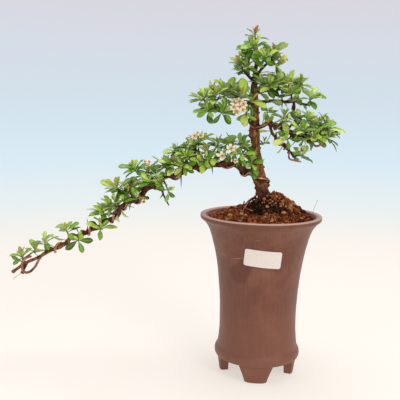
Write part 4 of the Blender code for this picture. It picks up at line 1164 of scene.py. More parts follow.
@dataclass(frozen=True)
class BladeForm:
    """How a leaf or a petal is cut: outline, section, fold and waves."""

    outline: tuple[tuple[float, float], ...]
    stations: tuple[float, ...]
    column: float
    thick: float
    stalk_thick: float
    arch: float
    fold: float
    wave: float
    crimp: float
    rib: float
    twist: float
    sway: float

    def cut(self, blade: Blade, rng: random.Random) -> tuple[Shape, list[Paint], list[int]]:
        """Cut one blade.

        Args:
            blade: where it grows and its size.
            rng: draws its own bend, twist and waves.

        Returns:
            Its shape, its paint and its finish numbers: 0 above, 1 below.
        """
        t = np.array(self.stations)
        half = np.interp(t, *zip(*self.outline)) * blade.width / 2
        arch = self.arch * rng.uniform(0.5, 1.9)
        sway = self.sway * rng.uniform(-1, 1)
        twist = self.twist * rng.uniform(-1, 1)
        wave = self.wave * rng.uniform(0.4, 1.0)
        phase = rng.uniform(0, math.tau)
        fold = self.fold * rng.uniform(0.5, 1.3)
        ahead, up = np.array(blade.ahead), np.array(blade.up)
        across = np.cross(ahead, up)
        length = blade.length
        centre = np.array(blade.root) + np.outer(length * t, ahead) - np.outer(arch * length * t * t, up)
        centre += np.outer(sway * length * t * t, across)
        lift = up + np.outer(2 * arch * t, ahead)
        lift /= np.linalg.norm(lift, axis=1)[:, None]
        roll = (twist * t)[:, None]
        side = across * np.cos(roll) + lift * np.sin(roll)
        normal = lift * np.cos(roll) - across * np.sin(roll)
        crimps = np.where(np.arange(len(t)) % 2, 1 + self.crimp, 1 - self.crimp)
        thick = np.interp(t, (0.0, 0.12, 1.0), (self.stalk_thick, self.thick, self.thick * 0.6))
        upper = (-1.0, -self.column, 0.0, self.column, 1.0)
        loop = [(s, 1.0) for s in upper] + [(s, -1.0) for s in upper[-2:0:-1]]
        lines = []
        for s, face in loop:
            edge = abs(s) == 1.0
            reach = half * s * (crimps if edge else 1.0)
            rise = fold * half * abs(s) + wave * half * s * s * np.sin(math.tau * 1.6 * t + phase + s)
            shell = thick * (0.12 if edge else 0.5) * face
            if s == 0.0 and face < 0:
                shell = shell - self.rib * (1 - t)
            lines.append(centre + side * reach[:, None] + normal * (rise + shell)[:, None])
        kinds = [int(k > 3) for _ in self.stations[1:] for k in range(len(loop))] + [0, 0]
        paint = [((s + 1) / 2, along, blade.tone, blade.bronze) for along in self.stations for s, _ in loop]
        return loft(np.stack(lines, axis=1).tolist()), paint, kinds


LEAF_FORM = BladeForm(
    outline=((0.0, 0.13), (0.06, 0.11), (0.14, 0.2), (0.28, 0.52), (0.42, 0.83), (0.56, 1.03),
             (0.67, 1.08), (0.79, 0.98), (0.88, 0.76), (0.955, 0.45), (1.0, 0.12)),
    stations=(0.0, 0.06, 0.13, 0.22, 0.32, 0.42, 0.52, 0.62, 0.71, 0.79, 0.86, 0.92, 0.965, 1.0),
    column=0.52, thick=0.42, stalk_thick=0.8, arch=0.17, fold=0.30, wave=0.14, crimp=0.035, rib=0.3,
    twist=0.5, sway=0.07,
)
PETAL_FORM = BladeForm(
    outline=((0.0, 0.22), (0.15, 0.42), (0.4, 0.82), (0.65, 1.0), (0.85, 0.9), (0.96, 0.55), (1.0, 0.3)),
    stations=(0.0, 0.14, 0.3, 0.48, 0.65, 0.8, 0.92, 1.0),
    column=0.5, thick=0.25, stalk_thick=0.3, arch=-0.16, fold=0.2, wave=0.16, crimp=0.05, rib=0.0,
    twist=0.3, sway=0.06,
)


@dataclass
class Rosette:
    """Leaves round the end of a twig."""

    path: list[Vector]
    centre: Vector
    axis: Vector
    length: float
    blades: list[Blade]
    sunk: float = 1.6
    twig_radius: float = 0.95


@dataclass(frozen=True)
class Whorl:
    """One layer of leaves that fills a rosette up; its count goes by the spray's fullness."""

    count: tuple[int, int, int, int]
    lean: tuple[float, float]
    size: tuple[float, float]
    level: float
    tone: tuple[float, float]
    young: bool = False


MAIN_WHORLS = (
    Whorl((3, 3, 3, 3), (4, 22), (0.5, 0.8), 0.9, (0.65, 1.0), True),
    Whorl((0, 2, 3, 4), (32, 72), (0.95, 1.25), 0.2, (0.38, 0.92)),
    Whorl((0, 0, 2, 3), (68, 104), (0.75, 1.0), -0.5, (0.05, 0.46)),
)
SHOOT_WHORLS = (
    Whorl((0, 1, 1, 1), (8, 26), (0.5, 0.75), 0.9, (0.65, 1.0), True),
    Whorl((0, 2, 4, 5), (30, 85), (0.9, 1.25), 0.0, (0.18, 0.82)),
)
SHOOTS = (0, 0, 1, 2)


@dataclass
class LeafSprays:
    """Every leafy spray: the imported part's leaves, cut finer, and the young ones among them."""

    crowd: Crowd
    hub_radius: float = 0.8
    twig_sides: int = 8
    attempts: int = 6
    shoot_reach: tuple[float, float] = (6.0, 11.0)
    stem_sink: float = 0.9
    # The last leaf, at the tip of the long branch
    end_leaf: Blade = field(default_factory=lambda: Blade(
        Vector((-281.5, -20.0, 109.0)), Vector((-0.84, -0.05, -0.54)), Vector((-0.54, 0.0, 0.84)), 13.0, 2.4,
        0.95))
    mates: dict[str, list[BVHTree]] = field(default_factory=dict)
    rosettes: dict[str, list[Rosette]] = field(default_factory=dict)
    rng: random.Random = field(default_factory=lambda: random.Random(SEED * 3))

    def rosette(self, path: list[Vector], spot: Sequence[float], mates: list[BVHTree],
                rng: random.Random) -> Rosette:
        """Grow a packed rosette on its twig, each leaf turned or shortened until it is clear.

        Args:
            path: the twig so far.
            spot: wished centre, count of leaves and share of their length.
            mates: outer parts of the spray's leaves so far.
            rng: draws the first leaf's direction.

        Returns:
            The rosette.
        """
        *place, count, size = spot
        along = (Vector(place) - path[0]).normalized()
        axis = along * 0.75 + UP * 0.75 + FRONT * 0.35
        if along.z < -0.2:
            axis = along + FRONT * 0.5 + UP * 0.2
        axis.normalize()
        for nudge in (*NUDGES, NUDGES[0]):
            centre = Vector(place) + Vector(nudge) * NUDGE_STEP
            end = centre + axis * (HUB_SPREAD * 0.6)
            if self.crowd.clear(tube([path[-1], centre, end], [HUB_RADIUS + LEAF_GAP] * 3, STEM_SIDES)):
                break
        begin = rng.uniform(0.0, math.tau)
        blades = []
        for k in range(count):
            level = k / max(count - 1, 1)
            root = centre + axis * (HUB_SPREAD * (level - 0.45))
            for turn_shift, lean_shift, share in LEAF_TRIES:
                turn = begin + k * 2 * math.tau / (count | 1) + math.radians(turn_shift)
                lean = math.radians(86 - 44 * level + lean_shift)
                ahead = (axis * math.cos(lean) + spoke(axis, turn) * math.sin(lean)).normalized()
                reach = LEAF_LENGTH * size * share * (1.0 - 0.22 * level)
                tone = 0.18 + 0.42 * level
                blade = Blade(root, ahead, square(axis, ahead), reach, reach * LEAF_WIDTH, tone)
                outer = blade.outer()
                if not any(outer.overlap(mate) for mate in mates) and self.crowd.clear(blade.plain(LEAF_GAP)):
                    mates.append(outer)
                    blades.append(blade)
                    break
        return Rosette([*path, end], centre, axis, LEAF_LENGTH * size, blades)

    def lay_out(self, limbs: Sequence[Limb]) -> None:
        """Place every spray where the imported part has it.

        Args:
            limbs: limbs that carry the sprays.
        """
        for index, (name, spots) in enumerate(SPRAYS):
            rng = random.Random(SEED + index)
            mates: list[BVHTree] = []
            made: list[Rosette] = []
            seat, outward = stem_start(limbs, Vector(spots[0][:3]), self.crowd)
            path = [seat, seat + outward * 2.0]
            for spot in spots:
                made.append(self.rosette(path, spot, mates, rng))
                path = [path[-1].lerp(made[-1].centre, 0.35)]
            for rosette in made:
                widths = [STEM_RADIUS] * (len(rosette.path) - 1) + [HUB_RADIUS]
                self.crowd.add(tube(rosette.path, widths, STEM_SIDES), name)
                for blade in rosette.blades:
                    self.crowd.add(blade.plain(), name)
            self.mates[name], self.rosettes[name] = mates, made

    def place_leaf(self, name: str, blade: Blade) -> bool:
        """Add a leaf to the crowd where it crosses nothing.

        Args:
            name: the spray that it joins.
            blade: the leaf.

        Returns:
            Whether it was placed.
        """
        outer, mates = blade.outer(), self.mates[name]
        if any(outer.overlap(mate) for mate in mates) or not self.crowd.clear(blade.plain(0.1), name):
            return False
        mates.append(outer)
        self.crowd.add(blade.plain(), name)
        return True

    def fill(self, name: str, rosette: Rosette, whorls: Sequence[Whorl]) -> None:
        """Fill a rosette with young leaves inside, full ones outside and old ones below.

        Args:
            name: the spray.
            rosette: its rosette, which gets the leaves.
            whorls: the layers of leaves.
        """
        rng = self.rng
        axis = (rosette.axis + UP * 0.8).normalized()
        bronze = BRONZE_SPRAYS.get(name, 0.0)
        for blade in rosette.blades[-1:]:
            blade.bronze = bronze * 0.3
        for whorl in whorls:
            begin = rng.uniform(0.0, math.tau)
            count = whorl.count[FULLNESS.get(name, LUSH)]
            root = rosette.centre + axis * (HUB_SPREAD * whorl.level * 0.6)
            for k in range(count):
                lean = math.radians(rng.uniform(*whorl.lean))
                reach = rosette.length * rng.uniform(*whorl.size)
                width = reach * LEAF_WIDTH * rng.uniform(0.88, 1.12) * (0.78 if whorl.young else 1.0)
                flush = bronze * rng.uniform(0.5, 1.0) if whorl.young else 0.0
                tone = rng.uniform(*whorl.tone)
                roll = Matrix.Rotation(rng.uniform(-0.6, 0.6), 3, "Z")
                for attempt in range(self.attempts):
                    turn = begin + k * math.tau / count + attempt * 0.9
                    ahead = axis * math.cos(lean) + spoke(axis, turn) * math.sin(lean)
                    up = square(axis, ahead)
                    basis = Matrix((up, ahead.cross(up), ahead)).transposed()
                    blade = Blade(root, ahead, (basis @ roll).col[0], reach, width, tone, flush)
                    if self.place_leaf(name, blade):
                        rosette.blades.append(blade)
                        break

    def side_shoot(self, name: str, rosette: Rosette) -> None:
        """Grow a short leafy shoot out of a rosette's twig, mostly to its front or back.

        Args:
            name: the spray.
            rosette: the rosette whose twig carries the shoot.
        """
        rng = self.rng
        for _ in range(self.attempts):
            out = Vector((rng.uniform(-0.6, 0.6), rng.choice((-1, 1)) * rng.uniform(0.5, 1.0),
                          rng.uniform(-0.2, 0.5))).normalized()
            start = rosette.path[-2].lerp(rosette.path[-1], rng.uniform(0.2, 0.7))
            centre = start + out * rng.uniform(*self.shoot_reach)
            twig = tube([start, centre], [1.1, 1.1], STEM_SIDES)
            if self.crowd.clear(twig, name):
                self.crowd.add(twig, name)
                axis = (out * 0.6 + UP * 0.55 + FRONT * 0.25).normalized()
                path = [start, start.lerp(centre, 0.5) + UP * 0.5, centre + axis]
                shoot = Rosette(path, centre, axis, rosette.length * rng.uniform(0.75, 0.95), [], 0.4, 0.65)
                self.fill(name, shoot, SHOOT_WHORLS)
                self.rosettes[name].append(shoot)
                return

    def stem_leaves(self, limb: Limb, first: float, last: float, spacing: float, spread: float) -> None:
        """Set single leaves along a young limb; each joins the spray nearest to it.

        Args:
            limb: the limb.
            first: station of the first leaf.
            last: station that the leaves end before.
            spacing: stations from leaf to leaf.
            spread: how far round from the top of the limb they may stand, in radians.
        """
        rng = self.rng
        while first < last:
            point, ahead, radius = limb.at(first)
            top = square(UP if abs(ahead.z) < 0.8 else FRONT, ahead)
            for _ in range(self.attempts):
                out = spoke(ahead, rng.uniform(-spread, spread), top)
                lean = math.radians(rng.uniform(38, 78))
                tip = ahead * math.cos(lean) + out * math.sin(lean)
                reach = LEAF_LENGTH * rng.uniform(0.7, 1.05)
                root = point + out * (radius + 0.35)
                blade = Blade(root, tip, square(ahead, tip), reach, reach * LEAF_WIDTH,
                              rng.uniform(0.2, 0.85))
                name = min(self.rosettes, key=lambda n: min(
                    (r.centre - root).length for r in self.rosettes[n]))
                if self.place_leaf(name, blade):
                    blade.root = root - tip * self.stem_sink
                    blade.length += self.stem_sink
                    self.rosettes[name][0].blades.append(blade)
                    break
            first += spacing * rng.uniform(0.8, 1.2)

    def grow_thick(self, tree: Tree) -> None:
        """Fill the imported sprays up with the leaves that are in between.

        Args:
            tree: the wood.
        """
        packed = [(name, rosette) for name, rosettes in self.rosettes.items() for rosette in rosettes]
        for name, rosette in packed:
            self.fill(name, rosette, MAIN_WHORLS)
        for name, rosette in packed:
            for _ in range(SHOOTS[FULLNESS.get(name, LUSH)]):
                self.side_shoot(name, rosette)
        for name, limb in tree.named.items():
            if name not in LEAFLESS:
                self.stem_leaves(limb, 0.8, len(limb.axis) - 1.0, 0.5, 2.2)
        for limb, key, start, end, spacing, spread in (
                (tree.trunk, 2, 344, 372, 0.6, math.pi), (tree.branch, 0, -28, -165, 0.7, 1.2),
                (tree.branch, 0, -165, -285, 1.9, 1.2)):
            self.stem_leaves(limb, limb.station(key, start), limb.station(key, end), spacing, spread)

    def build(self, bench: Workbench) -> None:
        """Make one piece for each spray: twigs with their end buds, and the leaves.

        Args:
            bench: makes the pieces.
        """
        finishes = [finish.make() for finish in (LEAF_UPPER, LEAF_UNDER, GreenTwig())]
        self.rosettes["tip"][0].blades.append(self.end_leaf)
        for index, (name, rosettes) in enumerate(self.rosettes.items()):
            rng = random.Random(SEED * 7 + index)
            stock = Stock()
            for rosette in rosettes:
                start = rosette.path[0]
                inward = (start - rosette.path[1]).normalized() * rosette.sunk
                rows = [(*p, rosette.twig_radius) for p in (start + inward, *rosette.path[:-1])]
                axis, radii = smooth_run([*rows, (*rosette.path[-1], self.hub_radius)], 1.4)
                last = len(axis) - 1
                swell = [r * (1.25 - 0.45 * k / last + 0.07 * math.sin(k * 1.7)) for k, r in enumerate(radii)]
                paint = [(0.0, k / last, 0.0, 0.0) for k in range(last + 1) for _ in range(self.twig_sides)]
                stock.add(tube(axis, swell, self.twig_sides), paint, 2)
                stock.add(bud(axis[-1], rosette.axis, 1.1, 7), (0.0, 0.9, 0.0, 0.0), 2)
                for blade in rosette.blades:
                    blade.tone = clamp(blade.tone + rng.uniform(-0.15, 0.2))
                    stock.add(*LEAF_FORM.cut(blade, rng))
            bench.piece("leafy_" + name, stock, finishes, Slot.LEAF, ["leaves_" + name])


# Flowers and fruit


@dataclass
class Blossoms:
    """The four flower clusters."""

    petals: int = 5
    stalk_radius: float = 0.5
    stamens: int = 14
    filament_radius: float = 0.13
    anther_radius: float = 0.38
    buds: int = 3
    # Share kept of the flowers' distances and of their radii, and how far they lean to the right
    gather: dict[str, tuple[float, float, float]] = field(default_factory=lambda: {
        "flowers_upper_left": (0.64, 0.94, 2.6), "flowers_far_twig": (0.6, 0.6, 0.0),
        "flowers_long_twig": (0.85, 0.9, 4.2)})
    # A flower that is only half open: its cluster, its number and its share of the others' radius
    half_open: tuple[str, int, float] = ("flowers_near_trunk", 2, 0.6)
    bud_groups: tuple[tuple[str, Point], ...] = (
        ("right_l", (41.8, -24.0, 263.0)), ("mid_f", (-96.4, -10.0, 252.0)))
    seats: dict[str, tuple[Vector, Vector]] = field(default_factory=dict)

    def plain(self, centre: Vector, facing: Vector, radius: float) -> Shape:
        """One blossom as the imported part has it.

        Args:
            centre: its middle.
            facing: where it looks.
            radius: its radius.

        Returns:
            Its vertices and faces.
        """
        ring = []
        for petal in range(self.petals):
            for shift, reach, lift in ((-0.5, 0.60, 0.10), (-0.2, 1.0, 0.26), (0.2, 1.0, 0.26)):
                out = spoke(facing, math.tau * (petal + shift) / self.petals)
                ring.append(centre + out * (radius * reach) + facing * (radius * lift))
        return loft([[centre + facing * (radius * 0.20)], ring, [centre - facing * (radius * 0.26)]])

    @staticmethod
    def facing(centre: Vector, hub: Vector) -> Vector:
        """Where a flower looks: away from its cluster's hub and to the front."""
        return ((centre - hub).normalized() + FRONT * 0.9).normalized()

    def lay_out(self, limbs: Sequence[Limb], crowd: Crowd) -> None:
        """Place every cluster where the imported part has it.

        Args:
            limbs: limbs that carry the clusters.
            crowd: shapes to stay clear of; the clusters join it.
        """
        for name, place, flowers, radius in FLOWERS:
            hub = Vector(place)
            seat, outward = stem_start(limbs, hub, crowd)
            knee = seat + outward * 2.0
            crowd.add(tube([seat, knee, hub], [0.8, 0.7, 0.6], 4))
            for spot in flowers:
                centre = Vector(spot)
                facing = self.facing(centre, hub)
                crowd.add(tube([hub, centre - facing * (radius * 0.1)], [self.stalk_radius] * 2, 3))
                crowd.add(self.plain(centre, facing, radius))
            self.seats[name] = (seat, knee)

    def head(self, centre: Vector, facing: Vector, radius: float, stock: Stock, rng: random.Random) -> None:
        """One open blossom: petals, stamens, styles and a green cup.

        Args:
            centre: its middle.
            facing: where it looks.
            radius: its radius.
            stock: gathers the shapes.
            rng: draws its age and the small differences.
        """
        age = rng.uniform(0.1, 0.55)
        start = rng.uniform(0, math.tau)
        for petal in range(self.petals):
            out = spoke(facing, start + math.tau * (petal + rng.uniform(-0.1, 0.1)) / self.petals)
            ahead = (out + facing * rng.uniform(0.05, 0.6)).normalized()
            blade = Blade(centre + out * (radius * 0.14), ahead, square(facing, ahead), radius * 0.95,
                          radius * rng.uniform(0.62, 0.92), age)
            stock.add(*PETAL_FORM.cut(blade, rng)[:2])
        for stamen in range(self.stamens):
            turn = math.tau * stamen / self.stamens + rng.uniform(-0.2, 0.2)
            lean = math.radians(rng.uniform(12, 62))
            out = spoke(facing, turn)
            ahead = facing * math.cos(lean) + out * math.sin(lean)
            end = centre + out * (radius * 0.1) + ahead * (radius * rng.uniform(0.38, 0.58))
            stock.add(tube([centre + out * (radius * 0.12), end], [self.filament_radius] * 2, 3), kind=1)
            stock.add(bud(end, ahead, self.anther_radius, 5), kind=2)
        stock.add(bud(centre + facing * (radius * 0.08), facing, radius * 0.2, 7), kind=3)
        stock.add(bud(centre - facing * (radius * 0.2), facing, radius * 0.24, 8), kind=3)
        for sepal in range(self.petals):
            out = spoke(facing, start + math.tau * (sepal + 0.5) / self.petals)
            blade = Blade(centre - facing * (radius * 0.16), (out - facing * 0.15).normalized(), facing,
                          radius * 0.42, radius * 0.3, 0.0)
            stock.add(*PETAL_FORM.cut(blade, rng)[:2], 3)

    def build(self, bench: Workbench, sprays: LeafSprays) -> None:
        """Make one piece for each cluster and each group of closed buds.

        Args:
            bench: makes the pieces.
            sprays: the leafy sprays, which carry the buds.
        """
        finishes = [tissue.make() for tissue in BLOSSOM_TISSUES]
        for index, (spray, place) in enumerate(self.bud_groups):
            rng = random.Random(SEED * 9 + index)
            stock = Stock()
            hub = min(sprays.rosettes[spray], key=lambda r: (r.centre - Vector(place)).length).centre
            for _ in range(7):
                end = Vector(place) + Vector([rng.uniform(-3.2, 3.2) for _ in range(3)])
                ahead = (end - hub).normalized()
                bend = hub.lerp(end, 0.5) + Vector((rng.uniform(-0.6, 0.6), -0.5, 0.4))
                stock.add(stalk([(*hub, 0.4), (*bend, 0.36), (*end, 0.36)], 1.5, 6), kind=3)
                size = rng.uniform(1.1, 1.7)
                stock.add(bud(end, ahead, size * 0.8, 7), kind=3)
                stock.add(bud(end + ahead * size, ahead, size, 9), (0.0, 0.5, 0.5, 0.0))
            bench.piece("flower_buds_" + spray, stock, finishes, Slot.PETAL, [])
        for index, (name, place, flowers, radius) in enumerate(FLOWERS):
            rng = random.Random(SEED * 5 + index)
            stock = Stock()
            hub = Vector(place)
            seat, knee = self.seats[name]
            inward = (seat - knee).normalized() * 1.5
            stock.add(stalk([(*(seat + inward), 0.85), (*knee, 0.7), (*hub, 0.6)], 1.5, 7), kind=3)
            share, grown, shift = self.gather.get(name, (1.0, 1.0, 0.0))
            middle = sum((Vector(spot) for spot in flowers), Vector()) / len(flowers)
            middle += Vector((shift / share, 0, 0))
            shifted = Vector((shift, 0, 0))
            heads = [(middle.lerp(centre + shifted, share), self.facing(centre, hub))
                     for centre in map(Vector, flowers)]
            if len(heads) > 3:
                heads += [(middle.lerp(centre, 0.55) + Vector((0, 2.5, 1.5)), facing)
                          for centre, facing in heads[:4]]
            for number, (centre, facing) in enumerate(heads):
                size = radius * grown * (self.half_open[2] if (name, number) == self.half_open[:2] else 1.0)
                foot = centre - facing * (size * 0.3)
                bend = hub.lerp(foot, 0.5) + (centre - hub).cross(FRONT).normalized() * 0.4
                stock.add(stalk([(*hub, 0.5), (*bend, 0.42), (*foot, 0.42)], 1.5, 6), kind=3)
                self.head(centre, facing, size, stock, rng)
                if number < self.buds:
                    end = hub.lerp(centre, 0.55) + facing.orthogonal().normalized() * rng.uniform(2.0, 3.0)
                    stock.add(tube([hub, end], [0.35, 0.3], 5), kind=3)
                    stock.add(bud(end + facing * 0.5, facing, 1.15, 9), (0, 0.6, 0.2, 0))
            bench.piece(name.replace("flowers", "blossoms"), stock, finishes, Slot.PETAL, [name])


@dataclass
class WitheredFruit:
    """The dried berry on the long branch and the orange remains of its cluster."""

    centre: Vector = field(default_factory=lambda: Vector((-130, -17, 204)))
    radius: float = 2.3
    # Ends of the withered stalks, from the berry; the last one reaches forward, past the leaf in front
    ends: tuple[Point, ...] = ((-6.0, -1.0, 0.5), (-4.0, -1.0, -4.5), (-3.0, -9.0, 1.0))
    seat: Vector = field(default_factory=Vector)
    knee: Vector = field(default_factory=Vector)

    def lay_out(self, limbs: Sequence[Limb], crowd: Crowd) -> None:
        """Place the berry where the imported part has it.

        Args:
            limbs: limbs that may carry it.
            crowd: shapes to stay clear of; the berry joins it.
        """
        self.seat, outward = stem_start(limbs, self.centre, crowd)
        self.knee = self.seat + outward * 1.5
        crowd.add(tube([self.seat, self.knee, self.centre], [0.8, 0.7, 0.6], 4))
        crowd.add(bud(self.centre, self.centre - self.knee, self.radius))
        for shift in self.ends[:2]:
            end = self.centre + Vector(shift)
            crowd.add(tube([self.knee, end], [0.6, 0.5], 4))
            crowd.add(bud(end, end - self.knee, 1.1))

    def open_view(self) -> Shape:
        """The space in front of the orange remains that added leaves keep out of."""
        start = self.centre + Vector((-5.0, -4.0, -2.0))
        return tube([start, start + Vector((4.5, -24.0, 3.5))], [4.0, 4.0], 6)

    def build(self, bench: Workbench) -> None:
        """Make the wrinkled berry with its dried calyx, and its remains.

        Args:
            bench: makes the piece.
        """
        verts, faces = ball(4, self.radius)
        for vert in verts:
            vert *= 1.06 - 0.10 * noise.ridged_multi_fractal(vert * 0.8, 0.8, 2.1, 3, 1.0, 1.6)
            vert.z *= 0.92
        stock = Stock().add(([vert + self.centre for vert in verts], faces))
        crown = self.centre + (self.centre - self.knee).normalized() * self.radius * 0.85
        for k in range(5):
            turn = math.tau * k / 5
            tip = crown + Vector((math.cos(turn) * 0.9, math.sin(turn) * 0.5, -0.8))
            stock.add(tube([crown, tip], [0.45, 0.0], 4, pointed=True))
        inward = (self.seat - self.knee).normalized() * 1.4
        rows = [(*(self.seat + inward), 0.8), (*self.knee, 0.6), (*self.centre, 0.45)]
        stock.add(stalk(rows, 1.0, 7), (0.35, 0.0, 0.0, 0.0))
        for shift in self.ends:
            end = self.centre + Vector(shift)
            rows = [(*self.knee, 0.55), (*(self.knee.lerp(end, 0.5) - UP), 0.5), (*end, 0.45)]
            stock.add(stalk(rows, 1.0, 6), (0.8, 0.0, 0.0, 0.0))
            stock.add(bud(end, end - self.knee, 1.7, 9), (0.9, 0.0, 0.0, 0.0))
            for k in range(9):
                out = Vector((math.cos(k * 2.4), math.sin(k * 2.4) - 0.5, 0.6 * math.cos(k * 1.7))) * 2.7
                stock.add(tube([end, end + out], [0.7, 0.0], 4, pointed=True), (1.0, 0.0, 0.0, 0.0))
        bench.piece("withered_fruit", stock, [WitheredSkin().make()], Slot.DRIED_FRUIT, ["dried_berry"])


# Wood and wire


@dataclass
class Tree:
    """Trunk, roots, branches and thorns, grown as one body."""

    trunk: Limb = field(default_factory=lambda: Limb(TRUNK, 10.0, 8))
    branch: Limb = field(default_factory=lambda: Limb(LONG_BRANCH, 10.0, 6))
    named: dict[str, Limb] = field(
        default_factory=lambda: {name: Limb(rows, 10.0, 5) for name, rows in BRANCHES.items()})
    roots: list[Limb] = field(default_factory=lambda: [Limb(rows, 9.0, 6) for rows in ROOTS])
    voxel: float = 0.62
    bark_share: float = 0.94
    relief: float = 0.8
    knots: int = 38
    # Old pruning burrs of the trunk: height, direction in degrees (0 is right, -90 front) and radius
    burrs: tuple[tuple[float, float, float], ...] = (
        (276, 195, 2.6), (268, 190, 1.6), (296, 200, 2.0), (262, -5, 1.5), (222, 200, 2.0), (215, 185, 2.4),
        (209, 205, 2.2), (228, 190, 1.6), (226, -20, 2.6), (219, -8, 3.0), (212, -60, 2.2), (205, -110, 2.6),
        (240, -15, 1.8), (310, -20, 2.0), (302, 15, 1.6), (255, 185, 1.8),
    )
    cut_ends: tuple[Point, ...] = ((-292, -18, 110), (-279.4, -20, 109.5))
    cut_radius: float = 2.5
    # The withered bud that hangs under the right branch
    brown_bud: tuple[Point, ...] = (
        (33.6, 10.0, 315), (33.3, 9.0, 312), (33.0, 8.4, 309), (33.0, 8.0, 306), (33.4, 7.8, 302.5))
    bud_radii: tuple[float, ...] = (1.3, 2.0, 2.5, 1.9, 0.0)
    olive_low: tuple[float, float] = (204.0, 226.0)
    olive_high: tuple[float, float] = (322.0, 345.0)

    def limbs(self) -> list[Limb]:
        """Trunk, long branch, the other branches and the roots."""
        return [self.trunk, self.branch, *self.named.values(), *self.roots]

    def carriers(self) -> list[Limb]:
        """The limbs that carry leaves and flowers."""
        return [self.trunk, self.branch, *(limb for name, limb in self.named.items() if name not in LEAFLESS)]

    def lay_out(self, crowd: Crowd) -> None:
        """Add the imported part's wood to the crowd.

        Args:
            crowd: gets the shapes.
        """
        for limb in self.limbs():
            crowd.add(limb.shape())
        for path in THORNS:
            crowd.add(tube(path, [THORN_RADIUS, 0.0], 4, pointed=True))

    def keep_views(self, crowd: Crowd) -> None:
        """Fill the spaces in front of bare wood, so that no added leaf goes there.

        Args:
            crowd: gets the shapes.
        """
        for limb, key, start, end in ((self.branch, 0, -30.0, -66.0), (self.branch, 0, -70.0, -117.0),
                                      (self.branch, 0, -126.0, -141.0), (self.trunk, 2, 262.0, 312.0)):
            first, last = limb.station(key, start), limb.station(key, end)
            rows = []
            for k in range(int(last - first) + 1):
                point, _, radius = limb.at(first + k)
                rows.append(point + Vector((0, -radius - 4.5, -1.5)))
            crowd.add(tube(rows, [3.0] * len(rows), 6))

    def knot_shapes(self, crowd: Crowd) -> list[Shape]:
        """Small burrs and pruning knuckles that stand half out of the wood, clear of the wires.

        Args:
            crowd: shapes that they have to miss.

        Returns:
            The burrs' shapes.
        """
        rng = random.Random(SEED + 77)
        shapes = []
        for height, degrees, size in self.burrs:
            point, _, radius = self.trunk.at(self.trunk.station(2, height))
            out = Vector((math.cos(math.radians(degrees)), math.sin(math.radians(degrees)), 0.2))
            shapes.append(bud(point + out * (radius - size * 0.3), out, size, 8))
        for limb, end in zip((self.branch, self.named["cut_stub"]), self.cut_ends):
            ahead = (limb.axis[-1] - limb.axis[-2]).normalized()
            rows = [Vector(end) - ahead * 4, Vector(end) - ahead, Vector(end) + ahead * 0.6]
            shapes.append(tube(rows, [self.cut_radius * share for share in (0.8, 1.0, 0.9)], 10))
        limbs = [self.branch, self.branch, *self.named.values()]
        while len(shapes) < self.knots:
            limb = rng.choice(limbs)
            point, ahead, radius = limb.at(rng.uniform(2.0, len(limb.axis) - 1.0))
            out = spoke(ahead, rng.uniform(0, math.tau))
            size = radius * rng.uniform(0.32, 0.5)
            burr = bud(point + out * (radius * 0.86), out + ahead * rng.uniform(-0.6, 0.6), size, 8)
            if radius > 1.5 and crowd.clear(burr, "wood"):
                shapes.append(burr)
        return shapes

    def build(self, bench: Workbench, wires: Crowd) -> None:
        """Fuse the wood in fine voxels, raise its bark and add the thorns.

        Args:
            bench: makes the piece.
            wires: the wires, which the burrs miss.
        """
        stock = Stock()
        samples: list[tuple[Vector, float, int]] = []
        for number, limb in enumerate(self.limbs()):
            fine = Limb(limb.points, 2.0, 16)
            fine.radii = [radius * self.bark_share for radius in fine.radii]
            stock.add(fine.shape())
            samples += [(point, radius, number) for point, radius in zip(fine.axis, fine.radii)]
        for burr in self.knot_shapes(wires):
            stock.add(burr)
        raw = bench.mesh("tree_raw", stock)
        fuse = raw.modifiers.new("Fuse", "REMESH")
        fuse.mode = "VOXEL"
        fuse.voxel_size = self.voxel * MM
        fused = raw.evaluated_get(bpy.context.evaluated_depsgraph_get()).to_mesh()
        surface = np.empty((2, len(fused.vertices) * 3))
        for row, key in zip(surface, ("co", "normal")):
            fused.vertices.foreach_get(key, row)
        places, normals = surface.reshape(2, -1, 3)
        places = (places - np.array(bench.origin)) / MM
        faces = [tuple(polygon.vertices) for polygon in fused.polygons]
        bpy.data.objects.remove(raw, do_unlink=True)

        near = kdtree.KDTree(len(samples))
        for k, (point, _, _) in enumerate(samples):
            near.insert(point, k)
        near.balance()
        verts = []
        paint = []
        for point, normal in zip(map(Vector, places), map(Vector, normals)):
            _, radius, number = samples[near.find(point)[1]]
            stretched = Vector((point.x, point.y, point.z * 0.5))
            coarse = noise.noise(stretched / 4.6)
            flaky = noise.ridged_multi_fractal(stretched / 2.1, 0.7, 2.2, 4, 1.0, 1.8) - 1.2
            lift = self.relief * min(radius / 6.0, 1.0) * (1.5 * coarse + 0.45 * flaky)
            verts.append(point + normal * lift)
            paint.append(self.tone(point, normal, number, coarse))
        stock = Stock().add((verts, faces), paint)
        stock.add(tube(self.brown_bud, self.bud_radii, 10, pointed=True), (0.0, 1.0, 0.0, 0.2))
        for base, tip in THORNS:
            path = [Vector(base).lerp(Vector(tip), share) for share in (0.0, 0.35, 0.7, 1.0)]
            radii = [THORN_RADIUS * share for share in (1.15, 0.8, 0.45, 0.0)]
            stock.add(tube(path, radii, 8, pointed=True), (0.1, 0.2, 0.4, 0.0))
        bench.piece("firethorn_wood", stock, [FirethornBark().make()], Slot.BARK, ["tree"])

